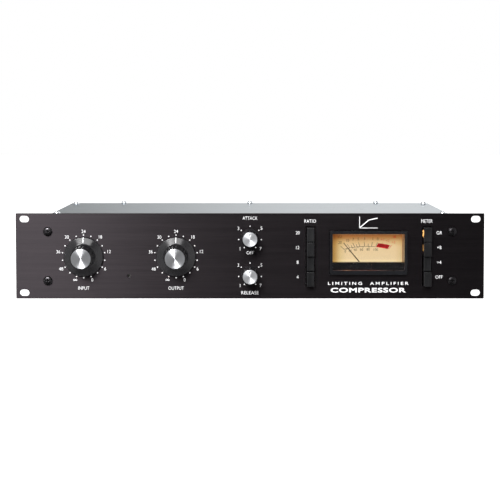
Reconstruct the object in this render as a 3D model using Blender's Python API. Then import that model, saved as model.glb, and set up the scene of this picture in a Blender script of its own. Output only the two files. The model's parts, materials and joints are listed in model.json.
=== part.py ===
"""Two-unit rack compressor: front panel, chassis, knobs, push-button banks, needle meter and rear connectors.

Metres, +Z up. The front panel faces -Y. The origin is the middle of the base of the whole unit's box.
"""

import math

import bmesh
import bpy
from mathutils import Matrix, Vector

# ---- Driving dimensions ----
PANEL_WIDTH = 0.4826  # a 19 inch rack panel
PANEL_HEIGHT = 0.0881  # two rack units, less the standard clearance
PANEL_THICKNESS = 0.0032
PANEL_CHAMFER = 0.0004
OVERALL_DEPTH = 0.311
KNOB_REACH = 0.027  # from the panel's face to the level knobs' faces
CHASSIS_WIDTH = 0.4318
CHASSIS_HEIGHT = 0.0762
CHASSIS_BACK = 0.275  # the rear panel's outer face, measured from the front panel's face
SHEET = 0.0012  # thickness of the chassis steel
GAP = 0.0003  # air between touching pieces
FLANGE = 0.014  # width of the chassis's folded edges

# ---- Frame: depth runs back from the front panel's face, height from the panel's middle ----
FRONT_Y = KNOB_REACH - OVERALL_DEPTH / 2
MIDDLE_Z = PANEL_HEIGHT / 2
BACK_OF_ALL = OVERALL_DEPTH - KNOB_REACH
SUBPANEL_FACE = PANEL_THICKNESS + GAP
BEHIND_SUBPANEL = SUBPANEL_FACE + SHEET + GAP
COVER_TOP = CHASSIS_HEIGHT / 2
SHELF_TOP = COVER_TOP - SHEET - GAP  # the folded edges that carry the covers

# ---- Front panel layout, as (x, height) from the panel's middle ----
RACK_SLOT_X = 0.23255  # half of the 465.1 mm rack hole spacing
RACK_SLOT_Z = 0.0381  # half of the 76.2 mm spacing
RACK_SLOT_LENGTH = 0.0100
RACK_SLOT_HEIGHT = 0.0068
EAR_INNER = 0.2165  # each rack ear runs outwards from here
EAR_RELIEF = 0.0001  # skimmed off the backs of the ears, so that they seat flat on the rails
PANEL_SCREW_X = 0.2083
PANEL_SCREW_Z = 0.0254
LEVEL_KNOBS = {"input": (-0.17145, -0.0004), "output": (-0.0762, -0.0004)}
TIMING_KNOBS = {"attack": (0.0, 0.01905), "release": (0.0, -0.01905)}
SCREWS_AT = [(x, z) for x in (-PANEL_SCREW_X, PANEL_SCREW_X) for z in (-PANEL_SCREW_Z, PANEL_SCREW_Z)]
TRIMMER_AT = (-0.1247, -0.0203)
METER_X = 0.1220
BANKS = {
    "ratio": (0.0622, ("20", "12", "8", "4")),
    "meter": (0.1824, ("gr", "plus8", "plus4", "off")),
}
BANK_Z = -0.0004
LATCHED = ("ratio_button_8", "meter_button_plus4")  # stored pressed in

# ---- Knobs and potentiometers ----
SHAFT_RADIUS = 0.003
BORE_RADIUS = 0.0034
SHAFT_FRONT = -0.020
PANEL_HOLE_RADIUS = 0.0052
BUSHING_RADIUS = 0.0047
BUSHING_FRONT = -0.0012
SKIRT_RADIUS = 0.0204
LEVEL_CAP_RADIUS = 0.0101
TIMING_REACH = 0.0250
TIMING_SKIRT_RADIUS = 0.0088
TIMING_CAP_RADIUS = 0.0073
KNOB_CLEARANCE = 0.0008  # from the panel to the back of a knob

# ---- Push buttons ----
BUTTON_PITCH = 0.01524
BUTTON_WIDTH = 0.0078
BUTTON_HEIGHT = 0.0149
BUTTON_REACH = 0.0080
BUTTON_BACK = 0.0090
BUTTON_LATCH_DEPTH = 0.0035
STEM_SIDE = 0.0040
BANK_FRONT = 0.0200
BANK_BACK = 0.0560
BUTTON_SLOT_WIDTH = 0.0100
BUTTON_SLOT_HEIGHT = 0.0622
BANK_HALF_HEIGHT = 0.0350
BANK_FOOT = 0.0022  # thickness of the ears that reach forward to the chassis

# ---- Meter: heights are from the panel's middle ----
BEZEL_WIDTH, BEZEL_TOP, BEZEL_BOTTOM = 0.0800, 0.0260, -0.0190
BEZEL_REACH = 0.0040
WINDOW_WIDTH, WINDOW_TOP, WINDOW_BOTTOM = 0.0740, 0.0230, -0.0146
METER_WALL = 0.0012
HOUSING_WIDTH, HOUSING_TOP = 0.0840, 0.0280
MASK_TOP = -0.0068
MASK_FACE = 0.0020
MASK_BACK = 0.0100
MOVEMENT_BOTTOM = -0.0270
METER_BACK = 0.0300
DIAL_DEPTH = 0.0200
DIAL_BOTTOM = -0.0120
NEEDLE_DEPTH = 0.0172
PIVOT_Z = -0.0175
NEEDLE_REST = math.radians(-39.6)
NEEDLE_LENGTH = 0.0382
ZERO_SCREW_Z = -0.0112

# ---- Screws: a head is (radius, height), and a cover screw's place is (x, depth) ----
PANEL_SCREW_HEAD = (0.0047, 0.0026)
COVER_SCREW_HEAD = (0.0034, 0.0030)
COVER_SCREWS = {
    "cover_screw_left_front": (-PANEL_SCREW_X, 0.075),
    "cover_screw_left_back": (-PANEL_SCREW_X, 0.250),
    "cover_screw_right_front": (PANEL_SCREW_X, 0.075),
    "cover_screw_right_back": (PANEL_SCREW_X, 0.250),
    "cover_screw_rear_left": (-0.1524, 0.267),
    "cover_screw_rear_middle": (0.0, 0.267),
    "cover_screw_rear_right": (0.1524, 0.267),
}
SCREW_HOLE_RADIUS = 0.0022

# ---- Rear panel layout, as x from the middle ----
INLET_X = -0.165
STRIP_X = 0.010
LINK_X = 0.078
OUTPUT_SOCKET_X = 0.120
INPUT_SOCKET_X = 0.170
SOCKET_RADIUS = 0.0118
STRIP_POSTS = 7
STRIP_PITCH = 0.0095
INLET_WIDTH, INLET_HEIGHT = 0.0275, 0.0470
INLET_DEPTH = 0.0240
PLUG_WELL = (0.0242, 0.0160, 0.0170)  # width, height and depth
PLUG_WELL_Z = -0.0115
DRAWER_SIZE = (0.0226, 0.0136, 0.0190)
DRAWER_Z = 0.0125
LINK_RADIUS = 0.0046
LATCH_WIDTH, LATCH_HEIGHT, LATCH_Z = 0.0060, 0.0026, 0.0142
CONNECTOR_FLANGE = 0.0020
SOCKET_FLANGE = (0.0260, 0.0340)

# ---- Inside, as (x, depth) ----
BOARD_SIZE = (0.222, 0.152)
BOARD_AT = (0.0, 0.155)
BOARD_Z = -0.0270
BOARD_POSTS = [(x, depth) for x in (-0.105, 0.105) for depth in (0.085, 0.225)]
POST_RADIUS = 0.0030

FINE, COARSE = 48, 24  # sides of a round piece
FLUTES = 16

# ---- Base colours, roughness and metallic value ----
FINISHES = {
    "black_anodised": ((0.030, 0.027, 0.030), 0.40, 0.6),
    "zinc_plate": ((0.52, 0.56, 0.58), 0.35, 1.0),
    "blackened_screw": ((0.02, 0.02, 0.02), 0.35, 0.8),
    "bright_screw": ((0.75, 0.78, 0.80), 0.25, 1.0),
    "knob_black": ((0.015, 0.015, 0.017), 0.25, 0.0),
    "spun_aluminium": ((0.85, 0.86, 0.88), 0.25, 1.0),
    "button_black": ((0.018, 0.019, 0.021), 0.50, 0.0),
    "meter_black": ((0.012, 0.013, 0.015), 0.45, 0.0),
    "dial_amber": ((0.95, 0.72, 0.38), 0.60, 0.0),
    "needle_black": ((0.05, 0.03, 0.02), 0.50, 0.0),
    "clear_window": ((0.90, 0.92, 0.92), 0.05, 0.0),
    "steel_shaft": ((0.60, 0.60, 0.60), 0.30, 1.0),
    "board_green": ((0.03, 0.16, 0.08), 0.45, 0.0),
    "core_steel": ((0.20, 0.20, 0.21), 0.55, 0.8),
    "connector_black": ((0.02, 0.02, 0.02), 0.40, 0.0),
    "connector_nickel": ((0.65, 0.65, 0.62), 0.25, 1.0),
}


# ---- Helpers ----
def clear_scene():
    for obj in list(bpy.data.objects):
        bpy.data.objects.remove(obj)


def make_materials():
    for name, (colour, roughness, metallic) in FINISHES.items():
        material = bpy.data.materials.new(name)
        material.use_nodes = True
        shader = material.node_tree.nodes["Principled BSDF"]
        shader.inputs["Base Color"].default_value = (*colour, 1)
        shader.inputs["Roughness"].default_value = roughness
        shader.inputs["Metallic"].default_value = metallic


def place(x, depth, height):
    """The world point at this x, this far behind the panel's face and this far above its middle."""
    return Vector((x, FRONT_Y + depth, MIDDLE_Z + height))


def add_object(name, shape, finish, location=(0, 0, 0)):
    """A named object from a bmesh, or a second one that shares a mesh."""
    if isinstance(shape, bpy.types.Mesh):
        mesh = shape
    else:
        mesh = bpy.data.meshes.new(name)
        bmesh.ops.recalc_face_normals(shape, faces=shape.faces)
        shape.to_mesh(mesh)
        shape.free()
        mesh.shade_smooth()
        mesh.set_sharp_from_angle(angle=math.radians(30))
        mesh.materials.append(bpy.data.materials[finish])
    obj = bpy.data.objects.new(name, mesh)
    obj.location = location
    bpy.context.collection.objects.link(obj)
    return obj


def box(low, high):
    """A bmesh block between two corners, each (x, depth, height) in the object's own frame."""
    shape = bmesh.new()
    bmesh.ops.create_cube(shape, size=1)
    low, high = Vector(low), Vector(high)
    size = high - low
    bmesh.ops.scale(shape, vec=size, verts=shape.verts)
    bmesh.ops.translate(shape, vec=(low + high) / 2, verts=shape.verts)
    return shape


def turned(profile, sides=COARSE, ring=False):
    """A bmesh turned about Y from (radius, depth) points. A ring's profile closes on itself."""
    shape = bmesh.new()
    points = [shape.verts.new((radius, depth, 0)) for radius, depth in profile]
    pairs = list(zip(points, points[1:]))
    if ring:
        pairs.append((points[-1], points[0]))
    whole = points + [shape.edges.new(pair) for pair in pairs]
    axis, turn = (0, 1, 0), math.tau
    bmesh.ops.spin(shape, geom=whole, cent=(0, 0, 0), axis=axis, angle=turn, steps=sides, use_merge=True)
    bmesh.ops.remove_doubles(shape, verts=shape.verts, dist=1e-6)
    return shape


def edges_along_y(shape):
    return [edge for edge in shape.edges if abs(edge.verts[0].co.y - edge.verts[1].co.y) > 1e-4]


def circle(centre, radius, sides=16):
    steps = (math.tau * i / sides for i in range(sides))
    return [(centre[0] + radius * math.cos(a), centre[1] + radius * math.sin(a)) for a in steps]


def rectangle(centre, width, height):
    x, z, w, h = *centre, width / 2, height / 2
    return [(x - w, z - h), (x + w, z - h), (x + w, z + h), (x - w, z + h)]


def slot(centre, length, height, sides=8):
    """A level slot with round ends."""
    radius = height / 2
    reach = length / 2 - radius
    points = []
    for side, start in ((1, -math.pi / 2), (-1, math.pi / 2)):
        middle = centre[0] + side * reach
        for i in range(sides + 1):
            angle = start + math.pi * i / sides
            points.append((middle + radius * math.cos(angle), centre[1] + radius * math.sin(angle)))
    return points


def plate(outline, holes, thickness):
    """A bmesh sheet in the XZ plane, from depth 0 back to its thickness, with holes cut through it."""
    shape = bmesh.new()
    for loop in (outline, *holes):
        points = [shape.verts.new((x, 0, z)) for x, z in loop]
        for i, point in enumerate(points):
            shape.edges.new((point, points[(i + 1) % len(points)]))
    bmesh.ops.triangle_fill(shape, use_beauty=True, edges=shape.edges)
    front = list(shape.faces)
    made = bmesh.ops.extrude_face_region(shape, geom=front)["geom"]
    back = [item for item in made if isinstance(item, bmesh.types.BMVert)]
    bmesh.ops.translate(shape, vec=(0, thickness, 0), verts=back)
    return shape


def prism(outline, along, length):
    """A bmesh bar with this outline: (depth, height) along X, (x, height) along Y or (x, depth) along Z."""
    shape = bmesh.new()
    spots = {
        "X": lambda a, b: (-length / 2, a, b),
        "Y": lambda a, b: (a, 0, b),
        "Z": lambda a, b: (a, b, -length / 2),
    }
    face = shape.faces.new([shape.verts.new(spots[along](*point)) for point in outline])
    made = bmesh.ops.extrude_face_region(shape, geom=[face])["geom"]
    far_end = [item for item in made if isinstance(item, bmesh.types.BMVert)]
    way = {"X": (length, 0, 0), "Y": (0, length, 0), "Z": (0, 0, length)}[along]
    bmesh.ops.translate(shape, vec=way, verts=far_end)
    return shape


def join(*shapes):
    """Several bmesh shapes as one."""
    whole = bmesh.new()
    for shape in shapes:
        mesh = bpy.data.meshes.new("piece")
        shape.to_mesh(mesh)
        shape.free()
        whole.from_mesh(mesh)
        bpy.data.meshes.remove(mesh)
    return whole


def shifted(shape, offset):
    bmesh.ops.translate(shape, vec=offset, verts=shape.verts)
    return shape


def front_up(shape):
    """Turns a piece about X so that its front faces up and its heights become depths."""
    quarter = Matrix.Rotation(math.radians(-90), 3, "X")
    bmesh.ops.rotate(shape, cent=(0, 0, 0), matrix=quarter, verts=shape.verts)
    return shape


def flute(shape, inner, back, groove):
    """Presses grooves into a turned grip, outside a radius and in front of a depth."""
    sector = math.tau / FLUTES
    for vert in shape.verts:
        radius = math.hypot(vert.co.x, vert.co.z)
        off_groove = math.remainder(math.atan2(vert.co.x, vert.co.z), sector)
        if vert.co.y < back and radius > inner and abs(off_groove) < sector / 6:
            vert.co.x *= 1 - groove / radius
            vert.co.z *= 1 - groove / radius
    return shape


def carve(obj, shape, operation="DIFFERENCE"):
    """Cuts a bmesh, in the object's own frame, out of an object, or joins it on."""
    tool = add_object(f"{obj.name}_tool_{len(obj.modifiers)}", shape, "zinc_plate", obj.location)
    tool.hide_render = True
    tool.display_type = "WIRE"
    modifier = obj.modifiers.new(operation.title(), "BOOLEAN")
    modifier.operation = operation
    modifier.solver = "EXACT"
    modifier.object = tool


def settled(obj):
    """The object's mesh with its cuts and joins made, and its sharp edges marked afresh. Its tools go."""
    bpy.context.view_layer.update()
    graph = bpy.context.evaluated_depsgraph_get()
    mesh = bpy.data.meshes.new_from_object(obj.evaluated_get(graph))
    mesh.name = obj.name
    mesh.set_sharp_from_angle(angle=math.radians(30))
    for modifier in list(obj.modifiers):
        bpy.data.objects.remove(modifier.object)
        obj.modifiers.remove(modifier)
    obj.data = mesh
    return mesh


def mesh_alone(obj):
    """The object's settled mesh alone, for copies to share."""
    mesh = settled(obj)
    bpy.data.objects.remove(obj)
    return mesh


# ---- Screws ----
def screw(name, head, shank_radius, length, finish):
    """A domed cross-recess screw, its head's seat at depth 0 and its shank running back along Y."""
    head_radius, head_height = head
    crown = 0.62 * head_height
    profile = [
        (0, -head_height),
        (0.45 * head_radius, -0.97 * head_height),
        (0.80 * head_radius, -0.80 * head_height),
        (head_radius, -head_height + crown),
        (head_radius, 0),
        (shank_radius, 0),
        (shank_radius, length - shank_radius * 0.6),
        (shank_radius * 0.4, length),
        (0, length),
    ]
    made = add_object(name, turned(profile, 20), finish)
    arm, width, floor = 0.55 * head_radius, 0.10 * head_radius, -0.50 * head_height
    carve(made, box((-arm, -2 * head_height, -width), (arm, floor, width)))
    carve(made, box((-width, -2 * head_height, -arm), (width, floor - 0.00005, arm)))
    return made


def panel_screws():
    mesh = mesh_alone(screw("panel_screw", PANEL_SCREW_HEAD, 0.0018, 0.0115, "blackened_screw"))
    for side, x in (("left", -PANEL_SCREW_X), ("right", PANEL_SCREW_X)):
        for level, z in (("top", PANEL_SCREW_Z), ("bottom", -PANEL_SCREW_Z)):
            add_object(f"panel_screw_{side}_{level}", mesh, None, place(x, -GAP, z))


def cover_screws():
    mesh = mesh_alone(screw("cover_screw", COVER_SCREW_HEAD, 0.0014, 0.0055, "bright_screw"))
    mesh.transform(Matrix.Rotation(math.radians(-90), 4, "X"))
    for name, (x, depth) in COVER_SCREWS.items():
        add_object(name, mesh, None, place(x, depth, COVER_TOP + GAP))


# ---- Panel and chassis ----
def front_panel():
    holes = [
        slot((x, z), RACK_SLOT_LENGTH, RACK_SLOT_HEIGHT)
        for x in (-RACK_SLOT_X, RACK_SLOT_X)
        for z in (-RACK_SLOT_Z, RACK_SLOT_Z)
    ]
    holes += [circle(at, SCREW_HOLE_RADIUS, 12) for at in SCREWS_AT]
    holes += [circle(at, PANEL_HOLE_RADIUS) for at in (*LEVEL_KNOBS.values(), *TIMING_KNOBS.values())]
    holes += [circle(TRIMMER_AT, 0.0019, 12)]
    holes += [rectangle((x, BANK_Z), BUTTON_SLOT_WIDTH, BUTTON_SLOT_HEIGHT) for x, _ in BANKS.values()]
    holes += [meter_opening(GAP)]
    shape = plate(rectangle((0, 0), PANEL_WIDTH, PANEL_HEIGHT), holes, PANEL_THICKNESS)
    half_width, half_height = PANEL_WIDTH / 2 - 1e-5, PANEL_HEIGHT / 2 - 1e-5
    rim = [
        edge
        for edge in shape.edges
        if all(v.co.y < 1e-6 for v in edge.verts)
        and (
            all(abs(v.co.x) > half_width for v in edge.verts)
            or all(abs(v.co.z) > half_height for v in edge.verts)
        )
    ]
    bmesh.ops.bevel(shape, geom=rim, offset=PANEL_CHAMFER, segments=1, affect="EDGES")
    panel = add_object("front_panel", shape, "black_anodised", place(0, 0, 0))
    for inner, outer in ((-PANEL_WIDTH, -EAR_INNER), (EAR_INNER, PANEL_WIDTH)):
        low = (inner, PANEL_THICKNESS - EAR_RELIEF, -PANEL_HEIGHT)
        carve(panel, box(low, (outer, 2 * PANEL_THICKNESS, PANEL_HEIGHT)))


def meter_opening(margin):
    """The opening that the front of the meter case stands through."""
    height = BEZEL_TOP - BEZEL_BOTTOM + 2 * margin
    return rectangle((METER_X, (BEZEL_TOP + BEZEL_BOTTOM) / 2), BEZEL_WIDTH + 2 * margin, height)


def channel(half_height):
    """The (depth, height) outline of a wall folded back along its top and bottom edges."""
    outside = [(0, -half_height), (FLANGE, -half_height)]
    inside = [(FLANGE, SHEET - half_height), (SHEET, SHEET - half_height)]
    lower = outside + inside
    return lower + [(depth, -height) for depth, height in reversed(lower)]


def front_subpanel():
    outline = prism(channel(SHELF_TOP), "X", CHASSIS_WIDTH - 2 * (SHEET + GAP))
    obj = add_object("front_subpanel", outline, "zinc_plate", place(0, SUBPANEL_FACE, 0))
    width, height = BUTTON_SLOT_WIDTH + 0.002, BUTTON_SLOT_HEIGHT + 0.002
    cuts = [circle(at, BUSHING_RADIUS + GAP) for at in (*LEVEL_KNOBS.values(), *TIMING_KNOBS.values())]
    cuts += [circle(at, SCREW_HOLE_RADIUS, 12) for at in SCREWS_AT]
    cuts += [circle(TRIMMER_AT, 0.0026, 12)]
    cuts += [rectangle((x, BANK_Z), width, height) for x, _ in BANKS.values()]
    cuts += [meter_opening(2 * GAP)]
    carve(obj, join(*[shifted(prism(cut, "Y", 3 * SHEET), (0, -SHEET, 0)) for cut in cuts]))


def cover_hole_tools(spots, face):
    """Upright pins that cut cover-screw holes in a top edge, for an object that starts at this depth."""
    profile = [(0, -0.004), (SCREW_HOLE_RADIUS, -0.004), (SCREW_HOLE_RADIUS, 0.004), (0, 0.004)]
    height = SHELF_TOP - SHEET / 2
    return join(*[shifted(front_up(turned(profile, 12)), (x, depth - face, height)) for x, depth in spots])


def chassis_tray():
    """Floor, sides and folded top edges in one bent sheet, with the circuit board's posts on its floor."""
    half, base, top = CHASSIS_WIDTH / 2, -COVER_TOP, SHELF_TOP
    outer = [(-half + FLANGE, top), (-half, top), (-half, base)]
    outer += [(half, base), (half, top), (half - FLANGE, top)]
    inner = [(half - FLANGE, top - SHEET), (half - SHEET, top - SHEET), (half - SHEET, base + SHEET)]
    inner += [(SHEET - half, base + SHEET), (SHEET - half, top - SHEET), (FLANGE - half, top - SHEET)]
    length = CHASSIS_BACK - SUBPANEL_FACE
    bent = prism(outer + inner, "Y", length)
    obj = add_object("chassis_tray", bent, "zinc_plate", place(0, SUBPANEL_FACE, 0))
    reach = half - SHEET - GAP / 2
    notch = FLANGE + 3 * GAP
    for start in (0, length - notch):
        low, high = (-reach, start - 0.001, top - 2 * SHEET), (reach, start + notch + 0.001, top + SHEET)
        carve(obj, box(low, high))
    sides = [spot for spot in COVER_SCREWS.values() if abs(spot[0]) == PANEL_SCREW_X]
    carve(obj, cover_hole_tools(sides, SUBPANEL_FACE))
    post = [(0, BOARD_Z - 0.002), (POST_RADIUS, BOARD_Z - 0.002), (POST_RADIUS, base), (0, base)]
    for x, depth in BOARD_POSTS:
        standing = [(radius, -height) for radius, height in post]
        carve(obj, shifted(front_up(turned(standing, 12)), (x, depth - SUBPANEL_FACE, 0)), "UNION")


def rear_panel():
    outline = [(-depth, height) for depth, height in reversed(channel(SHELF_TOP))]
    folded = prism(outline, "X", CHASSIS_WIDTH - 2 * (SHEET + GAP))
    obj = add_object("rear_panel", folded, "zinc_plate", place(0, CHASSIS_BACK, 0))
    cuts = [
        rectangle((INLET_X, 0), INLET_WIDTH + 2 * GAP, INLET_HEIGHT + 2 * GAP),
        circle((OUTPUT_SOCKET_X, 0), SOCKET_RADIUS + GAP, COARSE),
        circle((INPUT_SOCKET_X, 0), SOCKET_RADIUS + GAP, COARSE),
        circle((LINK_X, 0), LINK_RADIUS + GAP, 16),
        rectangle((INPUT_SOCKET_X, LATCH_Z), LATCH_WIDTH + 4 * GAP, LATCH_HEIGHT + 4 * GAP),
    ]
    carve(obj, join(*[shifted(prism(cut, "Y", 3 * SHEET), (0, -2 * SHEET, 0)) for cut in cuts]))
    rear = [spot for spot in COVER_SCREWS.values() if abs(spot[0]) != PANEL_SCREW_X]
    carve(obj, cover_hole_tools(rear, CHASSIS_BACK))


def top_cover():
    """A flat lid, drawn in the panel's plane and laid down."""
    start, end = SUBPANEL_FACE, CHASSIS_BACK
    outline = rectangle((0, (start + end) / 2), CHASSIS_WIDTH, end - start)
    holes = [circle(spot, SCREW_HOLE_RADIUS, 12) for spot in COVER_SCREWS.values()]
    add_object("top_cover", front_up(plate(outline, holes, SHEET)), "zinc_plate", place(0, 0, COVER_TOP))


# ---- Rotary controls ----
def shaft(name, at, back):
    profile = [
        (0, SHAFT_FRONT),
        (SHAFT_RADIUS - 0.0004, SHAFT_FRONT),
        (SHAFT_RADIUS, SHAFT_FRONT + 0.0004),
        (SHAFT_RADIUS, back),
        (0, back),
    ]
    add_object(f"{name}_shaft", turned(profile, 20), "steel_shaft", place(at[0], 0, at[1]))


def potentiometer(name, at, radius, length):
    """A round can with a threaded bushing, bored for its shaft."""
    face = BEHIND_SUBPANEL
    back = face + length
    profile = [
        (0, back),
        (radius, back),
        (radius, face),
        (BUSHING_RADIUS, face),
        (BUSHING_RADIUS, BUSHING_FRONT),
        (BORE_RADIUS, BUSHING_FRONT),
        (BORE_RADIUS, back - 0.0015),
        (0, back - 0.0015),
    ]
    add_object(f"{name}_pot", turned(profile), "steel_shaft", place(at[0], 0, at[1]))
    shaft(name, at, back - 0.0015 - GAP)


def hollow_back(radius, depth, floor):
    """The (radius, depth) points of a knob's underside: its rim's recess, hub and shaft bore."""
    hub = 0.0062
    return [
        (radius, -KNOB_CLEARANCE),
        (radius, depth),
        (hub, depth),
        (hub, BUSHING_FRONT - 0.0012),
        (BORE_RADIUS, BUSHING_FRONT - 0.0012),
        (BORE_RADIUS, floor),
        (0, floor),
    ]


def capped_top(rim_radius, cap_radius, reach):
    """The (radius, depth) points of a knob's face, from the middle of the cap's seat out to the rim."""
    seat, wall = -reach + 0.0011, cap_radius + GAP
    return [(0, seat), (wall, seat), (wall, -reach + 0.0002), (rim_radius, -reach + 0.0003)]


def level_knob(name, at):
    """A skirted knob: a shallow cone of a skirt, a collar, and a tapered grip."""
    profile = capped_top(0.0108, LEVEL_CAP_RADIUS, KNOB_REACH) + [
        (0.0111, -KNOB_REACH + 0.0010),
        (0.0127, -0.0072),
        (0.0133, -0.0070),
        (0.0135, -0.0058),
        (0.0196, -0.0036),
        (SKIRT_RADIUS, -0.0031),
        (SKIRT_RADIUS, -KNOB_CLEARANCE),
    ]
    profile += hollow_back(0.0180, -0.0024, SHAFT_FRONT - GAP)
    grip = flute(turned(profile, FINE), 0.0109, -0.0071, 0.0007)
    add_object(f"{name}_knob", grip, "knob_black", place(at[0], 0, at[1]))
    knob_cap(name, at, LEVEL_CAP_RADIUS, KNOB_REACH)


def timing_knob(name, at):
    """A slim knob with a small skirt."""
    profile = capped_top(0.0078, TIMING_CAP_RADIUS, TIMING_REACH) + [
        (0.0080, -TIMING_REACH + 0.0008),
        (0.0083, -0.0060),
        (TIMING_SKIRT_RADIUS, -0.0052),
        (TIMING_SKIRT_RADIUS, -KNOB_CLEARANCE),
    ]
    profile += hollow_back(0.0076, -0.0030, SHAFT_FRONT - GAP)
    add_object(f"{name}_knob", turned(profile, 32), "knob_black", place(at[0], 0, at[1]))
    knob_cap(name, at, TIMING_CAP_RADIUS, TIMING_REACH)


def knob_cap(name, at, radius, reach):
    """The aluminium disc let into a knob's face."""
    bevel, back = 0.0004, -reach + 0.0008
    profile = [(0, -reach), (radius - bevel, -reach), (radius, -reach + bevel), (radius, back), (0, back)]
    add_object(f"{name}_knob_cap", turned(profile, FINE), "spun_aluminium", place(at[0], 0, at[1]))


def zero_trimmer():
    """A small preset behind the panel, turned with a screwdriver through the access hole."""
    x, z = TRIMMER_AT
    side, face = 0.0050, BEHIND_SUBPANEL
    block = box((-side, face, -side), (side, face + 0.0065, side))
    body = add_object("zero_trimmer", block, "connector_black", place(x, 0, z))
    well = [(0, face - 0.001), (0.0024, face - 0.001), (0.0024, face + 0.003), (0, face + 0.003)]
    carve(body, turned(well, 20))
    rotor = [(0, face), (0.0021, face), (0.0021, face + 0.0026), (0, face + 0.0026)]
    screw_end = add_object("zero_trimmer_screw", turned(rotor, 20), "connector_nickel", place(x, 0, z))
    carve(screw_end, box((-0.0030, face - 0.001, -0.00035), (0.0030, face + 0.0008, 0.00035)))


# ---- Push buttons and their switches ----
def button_shape():
    """A cap with a square stem behind it, the front of the cap at its full reach."""
    cap_w, cap_h, stem = BUTTON_WIDTH / 2, BUTTON_HEIGHT / 2, STEM_SIDE / 2
    shape = box((-cap_w, -BUTTON_REACH, -cap_h), (cap_w, BUTTON_BACK, cap_h))
    front = [edge for edge in shape.edges if all(v.co.y < 0 for v in edge.verts)]
    bmesh.ops.bevel(shape, geom=front, offset=0.0005, segments=1, affect="EDGES")
    back = max(shape.faces, key=lambda face: face.calc_center_median().y)
    bmesh.ops.inset_individual(shape, faces=[back], thickness=0.0001)
    for vert in back.verts:
        vert.co.x = math.copysign(stem, vert.co.x)
        vert.co.z = math.copysign(stem, vert.co.z)
    made = bmesh.ops.extrude_face_region(shape, geom=[back])["geom"]
    tip = [item for item in made if isinstance(item, bmesh.types.BMVert)]
    bmesh.ops.translate(shape, vec=(0, BANK_FRONT + 0.004 - BUTTON_BACK, 0), verts=tip)
    bmesh.ops.delete(shape, geom=[back], context="FACES_ONLY")
    return shape


def switch_bank(name, x, keys):
    """Four interlocked push switches in one frame that stands off the chassis, and their buttons."""
    rows = [BUTTON_PITCH * (1.5 - i) for i in range(len(keys))]
    half, top = 0.0065, BANK_HALF_HEIGHT
    block = box((-half, BANK_FRONT, -top), (half, BANK_BACK, top))
    frame = add_object(f"{name}_switch_bank", block, "steel_shaft", place(x, 0, BANK_Z))
    for low in (-top, top - BANK_FOOT):
        ear = box((-half, BEHIND_SUBPANEL, low), (half, BANK_FRONT + 0.001, low + BANK_FOOT))
        carve(frame, ear, "UNION")
    side = STEM_SIDE / 2 + 0.0005
    mouth, floor = BANK_FRONT - 0.001, BANK_FRONT + 0.012
    carve(frame, join(*[box((-side, mouth, z - side), (side, floor, z + side)) for z in rows]))
    mesh = button_shape()
    for key, z in zip(keys, rows):
        button = f"{name}_button_{key}"
        depth = BUTTON_LATCH_DEPTH if button in LATCHED else 0
        mesh = add_object(button, mesh, "button_black", place(x, depth, BANK_Z + z)).data


# ---- Meter ----
def meter_case(middle):
    """A moulded case. Its front stands through the panel, and its wider housing stays behind."""
    half, bezel_half = WINDOW_WIDTH / 2, BEZEL_WIDTH / 2
    front = box((-bezel_half, -BEZEL_REACH, BEZEL_BOTTOM), (bezel_half, 0.012, BEZEL_TOP))
    face = [edge for edge in front.edges if all(v.co.y < 0 for v in edge.verts)]
    bmesh.ops.bevel(front, geom=face, offset=0.0006, segments=1, affect="EDGES")
    case = add_object("meter_case", front, "meter_black", middle)
    low = MOVEMENT_BOTTOM - METER_WALL
    side = HOUSING_WIDTH / 2
    carve(case, box((-side, BEHIND_SUBPANEL, low), (side, METER_BACK, HOUSING_TOP)), "UNION")
    floor = METER_BACK - 0.006
    carve(case, box((-half, -BEZEL_REACH - 0.001, WINDOW_BOTTOM), (half, MASK_FACE, WINDOW_TOP)))
    carve(case, box((-half, MASK_FACE - 0.0005, MASK_TOP), (half, floor, WINDOW_TOP)))
    carve(case, box((-half, MASK_BACK, MOVEMENT_BOTTOM), (half, floor, MASK_TOP + 0.001)))
    bore = turned([(0, 0), (0.0020, 0), (0.0020, 0.012), (0, 0.012)], 16)
    carve(case, shifted(bore, (0, 0, ZERO_SCREW_Z)))


def meter_window(middle):
    width, height = WINDOW_WIDTH - 2 * GAP, WINDOW_TOP - WINDOW_BOTTOM - 2 * GAP
    outline = rectangle((0, (WINDOW_TOP + WINDOW_BOTTOM) / 2), width, height)
    pane = plate(outline, [circle((0, ZERO_SCREW_Z), 0.0033, 20)], 0.0015)
    add_object("meter_window", shifted(pane, (0, -0.0032, 0)), "clear_window", middle)


def meter_zero_screw(middle):
    head = [(0, -0.0036), (0.0026, -0.0036), (0.0029, -0.0033), (0.0029, 0.0010)]
    shank = [(0.0016, 0.0010), (0.0016, 0.0080), (0, 0.0080)]
    at = middle + Vector((0, 0, ZERO_SCREW_Z))
    screw_head = add_object("meter_zero_screw", turned(head + shank, 20), "meter_black", at)
    carve(screw_head, box((-0.004, -0.0050, -0.0003), (0.004, -0.0028, 0.0003)))


def meter_dial(middle):
    half = WINDOW_WIDTH / 2 - GAP
    low, high = (-half, DIAL_DEPTH, DIAL_BOTTOM), (half, DIAL_DEPTH + 0.0008, WINDOW_TOP - GAP)
    add_object("meter_dial", box(low, high), "dial_amber", middle)


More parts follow.
